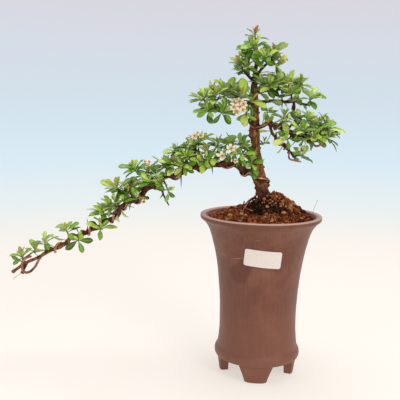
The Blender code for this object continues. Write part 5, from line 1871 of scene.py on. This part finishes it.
    def tone(self, point: Vector, normal: Vector, number: int, coarse: float) -> Paint:
        """Bark paint at a point: share of smooth olive bark, of scars, of pores and of wet red bark.

        On the trunk the olive share also follows where the surface faces: painted light and shade.

        Args:
            point: the place.
            normal: direction of the surface.
            number: the limb's number, 0 for the trunk.
            coarse: the bark's slow relief there.

        Returns:
            The paint.
        """
        if number > len(self.named) + 1:
            return (0.0, 1.0, 0.0, 0.85)
        if any((point - Vector(end)).length < 3.4 for end in self.cut_ends):
            return (1.0, 0.0, 1.0, 0.0)
        if number:
            young = clamp((-205 - point.x) / 25, 0.0, 0.9) if number == 1 else 0.0
            return (max(0.12 + 0.2 * max(coarse, 0.0), young), 0.35, 0.35, 0.0)
        rise = clamp((point.z - self.olive_low[0]) / (self.olive_low[1] - self.olive_low[0]))
        fall = clamp((self.olive_high[1] - point.z) / (self.olive_high[1] - self.olive_high[0]))
        # Painted light and shade: the trunk's olive bark is fullest where the surface faces the front and
        # right, thinner where it faces left, and half on the back
        painted_lit_side = clamp(1.1 + normal.dot(Vector((0.35, -1.6, 0.0))), 0.35) if rise else 1.0
        return (rise * fall * (painted_lit_side if normal.y < 0 else 0.5), 1.0, 0.7 * rise, 0.85 * (1 - rise))


@dataclass
class ShapingWires:
    """The three copper-coloured wires that hold the branches in shape."""

    thick: float = 1.5
    medium: float = 1.2
    thin: float = 1.0
    steps: int = 7
    refine: int = 4
    # Where each wire passes the front of its branch, in x
    long_fronts: tuple[float, ...] = (-17, -33, -62, -94, -116, -140, -155, -168, -184, -198, -208,
                                      -221, -238, -250)
    low_fronts: tuple[float, ...] = (5, 17, 27, 36, 45, 53)
    hang_fronts: tuple[float, ...] = (11, 16, 21, 26, 30)
    buried: tuple[Point, ...] = ((-24, -9, 176), (-20, -6, 190), (-15, -2, 201))
    loop: tuple[Point, ...] = (
        (-253, -23, 134), (-258, -22, 127), (-262, -24, 119), (-268, -25, 113), (-274, -25, 112),
        (-278, -24, 117), (-277, -23.5, 124), (-273, -23, 129), (-267, -22, 131))
    low_end: tuple[Point, ...] = ((57, -18, 268), (61, -20, 268.5), (64.5, -20.5, 271.5), (67.5, -20.5, 275),
                                  (71, -20, 279))
    hang_end: tuple[Point, ...] = ((29, -25.0, 254), (35, -27.5, 252), (42, -28, 251))
    fine: bool = False

    def wind(self, limb: Limb, stations: Sequence[float], phases: tuple[float, float], steps: int,
             radius: float) -> list[Vector]:
        """Points of a wire wound round a limb.

        Args:
            limb: the limb.
            stations: where it starts each winding, and where it ends.
            phases: first and last phase of a winding in degrees; zero faces the front.
            steps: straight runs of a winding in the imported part.
            radius: the wire's radius.

        Returns:
            The points.
        """
        steps *= self.refine if self.fine else 1
        points: list[Vector] = []
        for start, end in zip(stations, stations[1:]):
            del points[-1:]
            for step in range(steps + 1):
                part = step / steps
                point, ahead, wood = limb.at(start + (end - start) * part)
                phase = math.radians(phases[0] + (phases[1] - phases[0]) * part)
                if not self.fine:
                    wood = (wood + WIRE_GAP) / math.cos(math.pi / self.steps)
                points.append(point + spoke(ahead, phase, square(FRONT, ahead)) * (wood + radius))
        return points

    def routes(self, tree: Tree) -> dict[str, tuple[list[Point], float]]:
        """Every wire's route and radius.

        Args:
            tree: the wood that they are wound on.

        Returns:
            Route and radius by node name.
        """
        trunk = tree.trunk
        climb = self.wind(trunk, [trunk.station(2, z) for z in (208, 233)], (262, -40), 9, self.thick)
        over = self.wind(trunk, [trunk.station(2, z) for z in (305, 284)], (-215, 25), 8, self.medium)
        long, low, hang = [
            self.wind(limb, [limb.station(0, x) for x in fronts], (0, -360), self.steps, radius)[:-1]
            for limb, fronts, radius in ((tree.branch, self.long_fronts, self.thick),
                                         (tree.named["right_low"], self.low_fronts, self.medium),
                                         (tree.named["right_hang"], self.hang_fronts, self.thin))]
        skip = self.refine if self.fine else 1
        return {"wire_long": ([*self.buried, *climb, *long, *self.loop], self.thick),
                "wire_low": ([*over[:-skip], *low, *(self.low_end if self.fine else ())], self.medium),
                "wire_hang": ([*hang[skip:], *self.hang_end], self.thin)}

    def lay_out(self, tree: Tree, crowds: Sequence[Crowd]) -> None:
        """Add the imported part's wires to the crowds.

        Args:
            tree: the wood that they are wound on.
            crowds: get the shapes.
        """
        for points, radius in self.routes(tree).values():
            for crowd in crowds:
                crowd.add(tube(points, [radius] * len(points), 4))

    def build(self, bench: Workbench, tree: Tree) -> None:
        """Make the smooth round wires.

        Args:
            bench: makes the pieces.
            tree: the wood that they are wound on.
        """
        finish = ANODISED_WIRE.make()
        for name, (points, radius) in ShapingWires(fine=True).routes(tree).items():
            axis, _ = smooth_run([(*point, radius) for point in points], 1.3)
            radii = [0.8, 1.0, *[1.0] * (len(axis) - 4), 1.0, 0.8]
            stock = Stock().add(tube(axis, [radius * share for share in radii], 12))
            bench.piece("shaping_" + name, stock, [finish], Slot.WIRE, [name], 50.0)


# Pot, sticker and soil


@dataclass
class CascadePot:
    """The turned and footed stoneware pot."""

    sides: int = 144
    floor: float = 29.5
    base: float = 20.5
    drain_radius: float = 10.5
    outside: tuple[tuple[float, float], ...] = (
        (64.4, 187.0), (66.2, 187.5), (68.2, 187.5), (69.4, 187.1), (69.9, 186.2), (69.9, 184.4),
        (69.6, 183.2), (68.9, 182.2), (67.8, 181.3), (66.3, 180.2), (64.6, 178.5), (62.9, 176.4),
        (61.4, 174.2), (60.1, 171.8),
        (58.8, 169.0), (57.6, 165.6), (56.2, 161.2), (54.9, 156.2), (53.5, 150.8), (52.2, 145.0),
        (51.0, 139.2), (49.6, 131.0), (48.3, 121.6), (47.2, 111.5), (46.2, 101.0), (45.4, 90.0),
        (44.8, 78.6), (44.6, 66.0), (44.8, 55.0), (45.3, 46.0), (46.0, 39.0), (46.6, 35.0),
        (47.0, 32.6), (47.8, 31.2), (48.9, 29.9), (49.6, 28.0), (49.9, 25.6), (49.7, 23.2),
        (48.9, 21.4), (47.6, 20.6), (45.5, 20.3),
    )
    inside: tuple[tuple[float, float], ...] = (
        (36.0, 29.5), (38.2, 30.4), (39.2, 33.0), (39.2, 55.0), (39.4, 76.0), (41.2, 102.0),
        (43.8, 130.0), (47.2, 148.0), (51.6, 165.0), (54.2, 171.4), (57.0, 176.2), (59.6, 180.0),
        (61.6, 183.4), (62.9, 185.8),
    )
    foot_sole: float = 13.3
    foot_top: float = 21.0
    foot_height: float = 22.5
    foot_corner: float = 3.2
    foot_outer: tuple[float, float] = (43.6, 47.0)
    foot_inner: tuple[float, float] = (34.0, 35.0)
    wobble: float = 0.16
    throwing: float = 0.05
    damp_spot: Point = (-21.0, -46.0, 128.0)

    def foot(self, middle: float) -> Shape:
        """A curved trapezium foot with eased corners.

        Args:
            middle: direction of its middle round the pot, in radians.

        Returns:
            Its vertices and faces.
        """
        levels: list[tuple[float, float]] = []
        for k in range(5):
            turn = math.pi / 2 * k / 4
            levels.append((self.foot_corner * (1 - math.cos(turn)),
                           self.foot_sole - self.foot_corner * (1 - math.sin(turn)) * 0.9))
        for k in range(1, 7):
            levels.append((self.foot_corner + (self.foot_height - self.foot_corner) * k / 6,
                           self.foot_sole + (self.foot_top - self.foot_sole) * (k / 6) ** 1.15))
        shares = [2 * k / 12 - 1 for k in range(13)]
        rings = []
        for z, half in levels:
            rise = z / self.foot_height
            ease = 1.2 * max(0.0, 1 - z / 1.5)
            outer = self.foot_outer[0] + (self.foot_outer[1] - self.foot_outer[0]) * rise - ease
            inner = self.foot_inner[0] + (self.foot_inner[1] - self.foot_inner[0]) * rise + ease * 0.5
            rows = [(share, outer - share ** 12) for share in shares]
            rows += [(share, inner) for share in reversed(shares)]
            turns = [(middle + math.asin(half / outer) * share, radius) for share, radius in rows]
            rings.append([(radius * math.cos(turn), radius * math.sin(turn), z) for turn, radius in turns])
        return loft(rings, Cap.STRIP)

    def fine_profile(self) -> list[tuple[float, float]]:
        """The closed profile, smoothed between its points."""
        rows: list[tuple[float, float]] = []
        for part in (self.outside, self.inside):
            axis, _ = smooth_run([(r, 0.0, z, 0.0) for r, z in part], 3.0)
            rows += [(point.x, point.z) for point in axis]
            if part is self.outside:
                rows += [(self.drain_radius + 1.0, self.base), (self.drain_radius, self.base + 1.0),
                         (self.drain_radius, self.floor - 1.0), (self.drain_radius + 1.0, self.floor)]
        return rows

    def build(self, bench: Workbench) -> None:
        """Make the pot.

        Args:
            bench: makes the piece.
        """
        profile = self.fine_profile()
        turns = [math.tau * (step + 0.5) / self.sides for step in range(self.sides)]
        verts, faces = loft([[(r * math.cos(turn), r * math.sin(turn), z) for r, z in profile]
                             for turn in turns], wrap=True)
        thrown = []
        for x, y, z in verts:
            slow = noise.noise(Vector((x, y, z * 1.6)) / 46.0)
            rings = math.sin(z * 1.9 + 0.6 * slow) * self.throwing
            radius = math.hypot(x, y)
            grow = (radius + self.wobble * slow * 2 + rings) / radius if z > 33 else 1.0
            thrown.append((x * grow, y * grow, z))
        item = bench.mesh("stoneware_pot", Stock().add((thrown, faces)))
        feet = bpy.data.collections.new("pot_feet")
        bpy.context.scene.collection.children.link(feet)
        for k in range(4):
            foot = bench.mesh(f"pot_foot_{k}", Stock().add(self.foot(math.tau * k / 4 - math.pi / 2)))
            bpy.context.scene.collection.objects.unlink(foot)
            feet.objects.link(foot)
        join = item.modifiers.new("Feet", "BOOLEAN")
        join.operation = "UNION"
        join.solver = "EXACT"
        join.operand_type = "COLLECTION"
        join.collection = feet
        graph = bpy.context.evaluated_depsgraph_get()
        data = bpy.data.meshes.new_from_object(item.evaluated_get(graph))
        item.modifiers.clear()
        item.data = data
        for foot in list(feet.objects):
            bpy.data.objects.remove(foot, do_unlink=True)
        bpy.data.collections.remove(feet)
        data.materials.clear()
        spot = bench.place(self.damp_spot) / MM
        finish = UnglazedStoneware().make(bench.origin / MM, spot, 187.0, 31.0)
        bench.dress(item, [finish], Slot.CLAY, ["pot"], 42.0)

    def radius_at(self, height: float) -> float:
        """Outer radius at a height above the floor."""
        return float(np.interp(height, *zip(*sorted((z, r) for r, z in self.outside))))


@dataclass
class Sticker:
    """The blank paper sticker on the pot's front."""

    width: float = 41.0
    height: float = 19.5
    thick: float = 0.22
    lift: float = 0.16
    curl: float = 0.5
    corner: float = 2.4
    centre: tuple[float, float] = (4.0, 146.0)
    tilt: float = math.radians(-5.5)
    columns: int = 40
    rows: int = 20

    def build(self, bench: Workbench, pot: CascadePot) -> None:
        """Make the sticker, bent round the pot.

        Args:
            bench: makes the piece.
            pot: the pot that it sticks to.
        """
        rings = []
        for j in range(self.rows + 1):
            ring = []
            for layer, order in ((0, 1), (1, -1)):
                for i in range(self.columns + 1)[::order]:
                    across = (i / self.columns - 0.5) * self.width
                    rise = (j / self.rows - 0.5) * self.height
                    across, rise = self.rounded(across, rise)
                    x = self.centre[0] + across * math.cos(self.tilt) - rise * math.sin(self.tilt)
                    z = self.centre[1] + across * math.sin(self.tilt) + rise * math.cos(self.tilt)
                    loose = (abs(across) / self.width * 2) ** 8 + (abs(rise) / self.height * 2) ** 8
                    radius = pot.radius_at(z) + self.lift + layer * self.thick + 0.5 * self.curl * loose
                    turn = x / pot.radius_at(z)
                    ring.append((radius * math.sin(turn), -radius * math.cos(turn), z))
            rings.append(ring)
        bench.piece("blank_sticker", Stock().add(loft(rings, Cap.STRIP)), [COATED_PAPER.make()],
                    Slot.LABEL_PAPER, ["label"], 40.0)

    def rounded(self, across: float, rise: float) -> tuple[float, float]:
        """Pull a point of the sheet in at its rounded corners.

        Args:
            across: place across the sheet.
            rise: place up the sheet.

        Returns:
            The place after rounding.
        """
        over_x = abs(across) - (self.width / 2 - self.corner)
        over_z = abs(rise) - (self.height / 2 - self.corner)
        if over_x <= 0 or over_z <= 0:
            return across, rise
        scale = max(over_x, over_z) / math.hypot(over_x, over_z)
        new_x = self.width / 2 - self.corner + over_x * scale
        new_z = self.height / 2 - self.corner + over_z * scale
        return math.copysign(new_x, across), math.copysign(new_z, rise)


class DrainNet:
    """The plastic net over the drain hole, hidden under the soil."""

    def build(self, net: bpy.types.Object) -> None:
        """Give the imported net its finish."""
        net.data.materials.clear()
        net.data.materials.append(NET_PLASTIC.make())


@dataclass
class SoilMound:
    """The mound of baked loam granules, with humus round the trunk."""

    edge: float = 59.8
    level: float = 181.6
    coarse_rings: int = 9
    centre: tuple[float, float] = (17.0, 10.0)
    height: float = 35.0
    spread: float = 36.0
    summit: float = 5.0
    hollow: tuple[float, float] = (0.0, -16.0)
    hollow_depth: float = 8.0
    hollow_spread: float = 13.0
    relief: float = 1.5
    shift: float = 1.3
    side: tuple[tuple[float, float], ...] = ((54.7, 174.0), (50.3, 165.0), (42.2, 130.0),
                                             (38.2, 75.0), (38.1, 34.5), (35.3, 29.9))
    fine_rings: int = 44
    fine_sides: int = 108
    grains: int = 1150
    crumbs: int = 420
    chips: int = 16
    strands: int = 12
    # Crumbs heaped against the trunk: x, y, height and spread
    heaps: tuple[tuple[float, float, float, float], ...] = ((9.0, -2.5, 9.5, 5.0), (-5.0, -2.0, 9.0, 5.5))
    # Patches of humus: x, y and radius
    humus: tuple[Point, ...] = ((-1, -12, 10), (-3, -3, 8), (-8, -5, 13), (17, -15, 9), (25, -18, 8),
                                (50, -2, 9), (53, 12, 8), (-20, 22, 7))
    # Dry blades and sticks that stand up from the soil: foot, tip, radius and share of humus brown
    upright: tuple[tuple[Point, Point, float, float], ...] = (
        ((58.0, -4.0, 184.0), (63.5, -5.0, 206.0), 0.18, 0.1),
        ((-23.0, 30.0, 184.0), (-20.5, 30.0, 196.5), 0.5, 0.85),
        ((-25.0, 28.0, 183.0), (-25.5, 28.0, 193.0), 0.4, 0.85))

    def height_at(self, x: float, y: float) -> float:
        """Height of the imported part's soil at a place across and in depth."""
        away = math.hypot(x - self.centre[0], y - self.centre[1], self.summit)
        edge = min(math.hypot(x, y) / self.edge, 1.0)
        mound = self.height * math.exp(-away / self.spread) * (1 - edge ** 5)
        dip = math.hypot(x - self.hollow[0], y - self.hollow[1]) / self.hollow_spread
        return self.level + mound - self.hollow_depth * math.exp(-dip * dip / 2) * (1 - edge ** 5)

    def top_at(self, x: float, y: float) -> float:
        """Height of the soil's top with the crumbs that are heaped against the trunk."""
        heaped = sum(rise * math.exp(-((x - a) ** 2 + (y - b) ** 2) / (2 * spread ** 2))
                     for a, b, rise, spread in self.heaps)
        return self.height_at(x, y) + heaped

    def plain(self) -> Shape:
        """The soil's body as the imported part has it, before its holes are cut."""
        rng = random.Random(SEED)
        verts = [(0.0, 0.0, self.height_at(0.0, 0.0))]
        starts = [0]
        for ring in range(1, self.coarse_rings + 1):
            starts.append(len(verts))
            radius = self.edge * ring / self.coarse_rings
            for k in range(6 * ring):
                turn = math.tau * k / (6 * ring)
                x = radius * math.cos(turn)
                y = radius * math.sin(turn)
                lift = rng.uniform(-self.relief, self.relief)
                if ring < self.coarse_rings:
                    x += rng.uniform(-self.shift, self.shift)
                    y += rng.uniform(-self.shift, self.shift)
                    verts.append((x, y, self.height_at(x, y) + lift))
                else:
                    verts.append((x, y, self.level - 0.4 * abs(lift)))
        faces: list[tuple[int, ...]] = []
        for ring in range(self.coarse_rings):
            inner = max(6 * ring, 1)
            outer = 6 * (ring + 1)
            for sector in range(6):
                for k in range(ring + 1):
                    a = starts[ring + 1] + (sector * (ring + 1) + k) % outer
                    b = starts[ring + 1] + (sector * (ring + 1) + k + 1) % outer
                    c = starts[ring] + (sector * ring + k) % inner
                    faces.append((a, b, c))
                    if k < ring:
                        d = starts[ring] + (sector * ring + k + 1) % inner
                        faces.append((c, b, d))
        return verts, faces

    def bed(self) -> Shape:
        """The closed body under the granules."""
        rings = [[(0.0, 0.0, self.top_at(0.0, 0.0) - 1.6)]]
        for k in range(1, self.fine_rings + 1):
            ring = circle(self.edge * (k / self.fine_rings) ** 0.8, 3.0, self.fine_sides)
            rings.append([(x, y, self.top_at(x, y) - 1.6 + noise.noise(Vector((x, y, z)) / 3.1))
                          for x, y, z in ring])
        rings += [circle(radius, level, self.fine_sides) for radius, level in self.side]
        return loft([*rings, [(0.0, 0.0, self.side[-1][1])]])

    def humus_at(self, x: float, y: float) -> float:
        """Share of dark humus and moss at a place across and in depth."""
        share = max(0.0, *(1.35 - math.hypot(x - px, y - py) / size for px, py, size in self.humus))
        return clamp(share + 0.35 * noise.noise(Vector((x, y, 0)) / 5.0))

    def scatter(self, wood: Sequence[Limb], count: int, sizes: tuple[float, float], packing: float,
                rng: random.Random) -> list[tuple[Vector, float]]:
        """Places and sizes of grains that lie beside each other on the mound.

        Args:
            wood: limbs that they stay out of.
            count: grains wished.
            sizes: smallest and largest radius.
            packing: least distance as a share of two radii.
            rng: draws the places.

        Returns:
            Centre and radius of each grain.
        """
        cells: dict[tuple[int, int], list[tuple[float, float, float]]] = {}
        cell = sizes[1] * 2
        found: list[tuple[Vector, float]] = []
        for _ in range(count * 30):
            if len(found) >= count:
                break
            size = sizes[0] + (sizes[1] - sizes[0]) * rng.random() ** 1.7
            reach = (self.edge - size * 0.9) * math.sqrt(rng.random())
            turn = rng.uniform(0, math.tau)
            x, y = reach * math.cos(turn), reach * math.sin(turn)
            key = (int(x // cell), int(y // cell))
            beside = [row for i in (-1, 0, 1) for j in (-1, 0, 1)
                      for row in cells.get((key[0] + i, key[1] + j), ())]
            if any(math.hypot(x - a, y - b) < (size + c) * packing for a, b, c in beside):
                continue
            centre = Vector((x, y, self.top_at(x, y) + rng.uniform(-0.5, 0.7)))
            nearest = ((limb, *limb.nearest(centre)) for limb in wood)
            if all(gap >= limb.at(place)[2] + size * 0.4 for limb, place, gap in nearest):
                cells.setdefault(key, []).append((x, y, size))
                found.append((centre, size))
        return found

    def grain(self, base: tuple[list[Vector], list[tuple[int, ...]]], centre: Vector, size: float,
              rough: float, rng: random.Random) -> Shape:
        """One broken granule.

        Args:
            base: unit ball.
            centre: its middle.
            size: its radius.
            rough: share of the radius that its surface varies by.
            rng: draws its shape.

        Returns:
            Its vertices and faces.
        """
        spin = Euler([rng.uniform(0, math.tau) for _ in range(3)]).to_matrix()
        stretch = Matrix.Diagonal([rng.uniform(0.72, 1.2) for _ in range(3)])
        seed = Vector([rng.uniform(0, 50) for _ in range(3)])
        turn = spin @ stretch
        verts = [centre + turn @ (v * (size * (1 + rough * noise.noise(v * 1.4 + seed)))) for v in base[0]]
        return verts, base[1]

    def build(self, bench: Workbench, tree: Tree) -> None:
        """Make the soil bed with its granules, crumbs and chips.

        Args:
            bench: makes the pieces.
            tree: the wood that stands in it.
        """
        rng = random.Random(SEED + 11)
        base = ball(2, 1.0)
        finish = FiredLoamGranules().make()
        # The body under the granules is painted in the darkest damp tone with humus: painted shade in the
        # gaps between the grains
        stock = Stock().add(self.bed(), (0.0, 0.75, 0.0, 0.0))
        wood = [tree.trunk, *tree.roots]
        for centre, size in self.scatter(wood, self.grains, (1.25, 3.3), 0.80, rng):
            humus = self.humus_at(centre.x, centre.y)
            tone = clamp(rng.gauss(0.44, 0.27) + (0.36 if centre.z > 196 else 0.0))
            dark = 0.9 * humus if rng.random() < humus else 0.15 * humus
            stock.add(self.grain(base, centre, size, 0.55, rng), (tone, dark, 0.0, 0.0))
        bench.piece("akadama_bed", stock, [finish], Slot.SOIL, ["soil"], 55.0)

        litter = Stock()
        for centre, size in self.scatter(wood, self.crumbs * 3, (0.5, 1.2), 0.9, rng):
            humus = self.humus_at(centre.x, centre.y)
            if rng.random() < humus * 1.1 or rng.random() < 0.10:
                lifted = centre + UP * 1.4
                litter.add(self.grain(base, lifted, size, 0.8, rng), (0.3, min(humus + 0.25, 0.95), 0, 0))
        for _ in range(self.chips):
            reach = 52 * math.sqrt(rng.random())
            turn = rng.uniform(0, math.tau)
            x, y = reach * math.cos(turn), reach * math.sin(turn)
            if math.hypot(x - 4, y - 8) < 14:
                continue
            start = Vector((x, y, self.top_at(x, y) + 2.2))
            lie = rng.uniform(0, math.pi)
            end = start + Vector((math.cos(lie), math.sin(lie), rng.uniform(-0.1, 0.2))) * rng.uniform(4, 9)
            litter.add(tube([start, start.lerp(end, 0.5) + UP * 0.4, end], [0.5, 0.7, 0.3], 6),
                       (1.0, rng.choice((0.0, 0.0, 0.7)), 0.0, 0.0))
        for _ in range(self.strands):
            top = Vector((rng.uniform(-5, 3), rng.uniform(-2, 2), rng.uniform(194, 201)))
            x, y = rng.uniform(-19, 0), rng.uniform(-19, -4)
            end = Vector((x, y, self.top_at(x, y) + 0.5))
            middle = top.lerp(end, 0.5) + Vector((rng.uniform(-2, 1), -1.5, rng.uniform(-3, 1)))
            radius = rng.uniform(0.35, 0.8)
            rows = [(*top, radius * 1.4), (*middle, radius), (*end, radius * 0.6)]
            litter.add(stalk(rows, 2.0, 6), (0.2, rng.uniform(0.7, 0.95), 0.0, 0.0))
        for foot, tip, radius, dark in self.upright:
            start, end = Vector(foot), Vector(tip)
            middle = start.lerp(end, 0.5) + Vector((-1.2, 0.5, 0.0))
            rows = [(*start, radius), (*middle, radius), (*end, radius * 0.7)]
            litter.add(stalk(rows, 2.0, 6), (0.8, dark, 0.0, 0.0))
            litter.add(bud(end, end - middle, radius * 2.2, 7), (0.5, dark, 0.0, 0.0))
        bench.piece("humus_and_chips", litter, [finish], Slot.SOIL, [])


# Studio


@dataclass
class Studio:
    """Backdrop, soft lights and the camera."""

    flat: float = 0.75
    bend: float = 0.9
    top: float = 1.7
    sides: int = 128
    camera_back: float = 698.9
    camera_height: float = 299.0
    turn_left: float = 5.80
    look_down: float = 7.92
    roll: float = 1.08
    focal_pixels: float = 608.8
    picture_pixels: float = 400.0
    sensor: float = 36.0
    sky: str = "#f1f4f8"
    sky_strength: float = 0.4

    def backdrop(self, bench: Workbench) -> None:
        """A round sweep of seamless paper: flat floor, curved up to a wall on every side.

        Args:
            bench: knows where the plant stands.
        """
        rows = [(self.flat * k / 6, 0.0) for k in range(1, 7)]
        for k in range(1, 25):
            turn = math.pi / 2 * k / 24
            rows.append((self.flat + self.bend * math.sin(turn), self.bend * (1 - math.cos(turn))))
        rows.append((self.flat + self.bend, self.top))
        rings = [circle(radius, z, self.sides) for radius, z in rows]
        verts, faces = loft([[(0.0, 0.0, 0.0)], *rings], Cap.OPEN)
        data = bpy.data.meshes.new("seamless_sweep")
        shift = Vector((bench.origin.x, 0.0, 0.0))
        data.from_pydata([Vector(v) + shift for v in verts], [], [face[::-1] for face in faces])
        data.shade_smooth()
        data.materials.append(GlowingSeamlessPaper().make())
        sweep = bpy.data.objects.new("seamless_sweep", data)
        bpy.context.scene.collection.objects.link(sweep)

    def light(self, bench: Workbench) -> None:
        """Soft boxes in front and above, and a pale surround.

        Args:
            bench: knows where the plant stands.
        """
        x = bench.origin.x
        for name, place, size, power, colour in (
                ("front_right_softbox", (x + 0.75, -1.0, 0.95), 0.55, 7.5, "#fff6ec"),
                ("front_left_softbox", (x - 0.9, -0.9, 0.8), 0.8, 0.9, "#f4f8ff"),
                ("top_softbox", (x, 0.1, 1.35), 0.8, 8.0, "#ffffff")):
            data = bpy.data.lights.new(name, "AREA")
            data.size = size
            data.energy = power
            data.color = linear(colour)[:3]
            lamp = bpy.data.objects.new(name, data)
            lamp.location = place
            aim = Vector((x - 0.05, 0.0, 0.2)) - Vector(place)
            lamp.rotation_euler = aim.to_track_quat("-Z", "Y").to_euler()
            bpy.context.scene.collection.objects.link(lamp)
        world = bpy.data.worlds.new("studio_surround")
        world.use_nodes = True
        sky = world.node_tree.nodes["Background"]
        sky.inputs["Color"].default_value = linear(self.sky)
        sky.inputs["Strength"].default_value = self.sky_strength
        bpy.context.scene.world = world

    def camera(self, bench: Workbench) -> None:
        """The camera where the photograph was taken from.

        Args:
            bench: knows where the plant stands.
        """
        turn, down, roll = (math.radians(a) for a in (self.turn_left, self.look_down, self.roll))
        ahead = Vector((-math.sin(turn) * math.cos(down), math.cos(turn) * math.cos(down), -math.sin(down)))
        right = Vector((math.cos(turn), math.sin(turn), 0.0))
        up = right.cross(ahead)
        tilted_right = right * math.cos(roll) + up * math.sin(roll)
        tilted_up = up * math.cos(roll) - right * math.sin(roll)
        data = bpy.data.cameras.new("photo_camera")
        data.sensor_width = self.sensor
        data.lens = self.sensor * self.focal_pixels / self.picture_pixels
        data.clip_start = 0.01
        camera = bpy.data.objects.new("photo_camera", data)
        frame = Matrix((tilted_right, tilted_up, -ahead)).transposed().to_4x4()
        frame.translation = bench.place((0.0, -self.camera_back, self.camera_height))
        camera.matrix_world = frame
        bpy.context.scene.collection.objects.link(camera)
        bpy.context.scene.camera = camera
        bpy.context.scene.view_settings.view_transform = "Standard"


def main() -> None:
    """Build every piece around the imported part."""
    logging.basicConfig(level=logging.INFO, format="%(name)s %(message)s")
    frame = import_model()
    bench = Workbench()
    studio = Studio()
    for step in (studio.camera, studio.backdrop, studio.light):
        step(bench)

    tree, wires, soil = Tree(), ShapingWires(), SoilMound()
    crowd, wire_crowd = Crowd(), Crowd()
    blossoms, fruit, sprays = Blossoms(), WitheredFruit(), LeafSprays(crowd)
    tree.lay_out(crowd)
    wires.lay_out(tree, (crowd, wire_crowd))
    crowd.add(soil.plain())
    blossoms.lay_out(tree.carriers(), crowd)
    fruit.lay_out(tree.carriers(), crowd)
    sprays.lay_out(tree.carriers())

    pot = CascadePot()
    pot.build(bench)
    Sticker().build(bench, pot)
    DrainNet().build(frame["nodes"]["drain_mesh"])
    soil.build(bench, tree)
    tree.build(bench, wire_crowd)
    wires.build(bench, tree)
    crowd.add(fruit.open_view())
    tree.keep_views(crowd)
    sprays.grow_thick(tree)
    blossoms.build(bench, sprays)
    fruit.build(bench)
    sprays.build(bench)


if __name__ == "__main__":
    main()
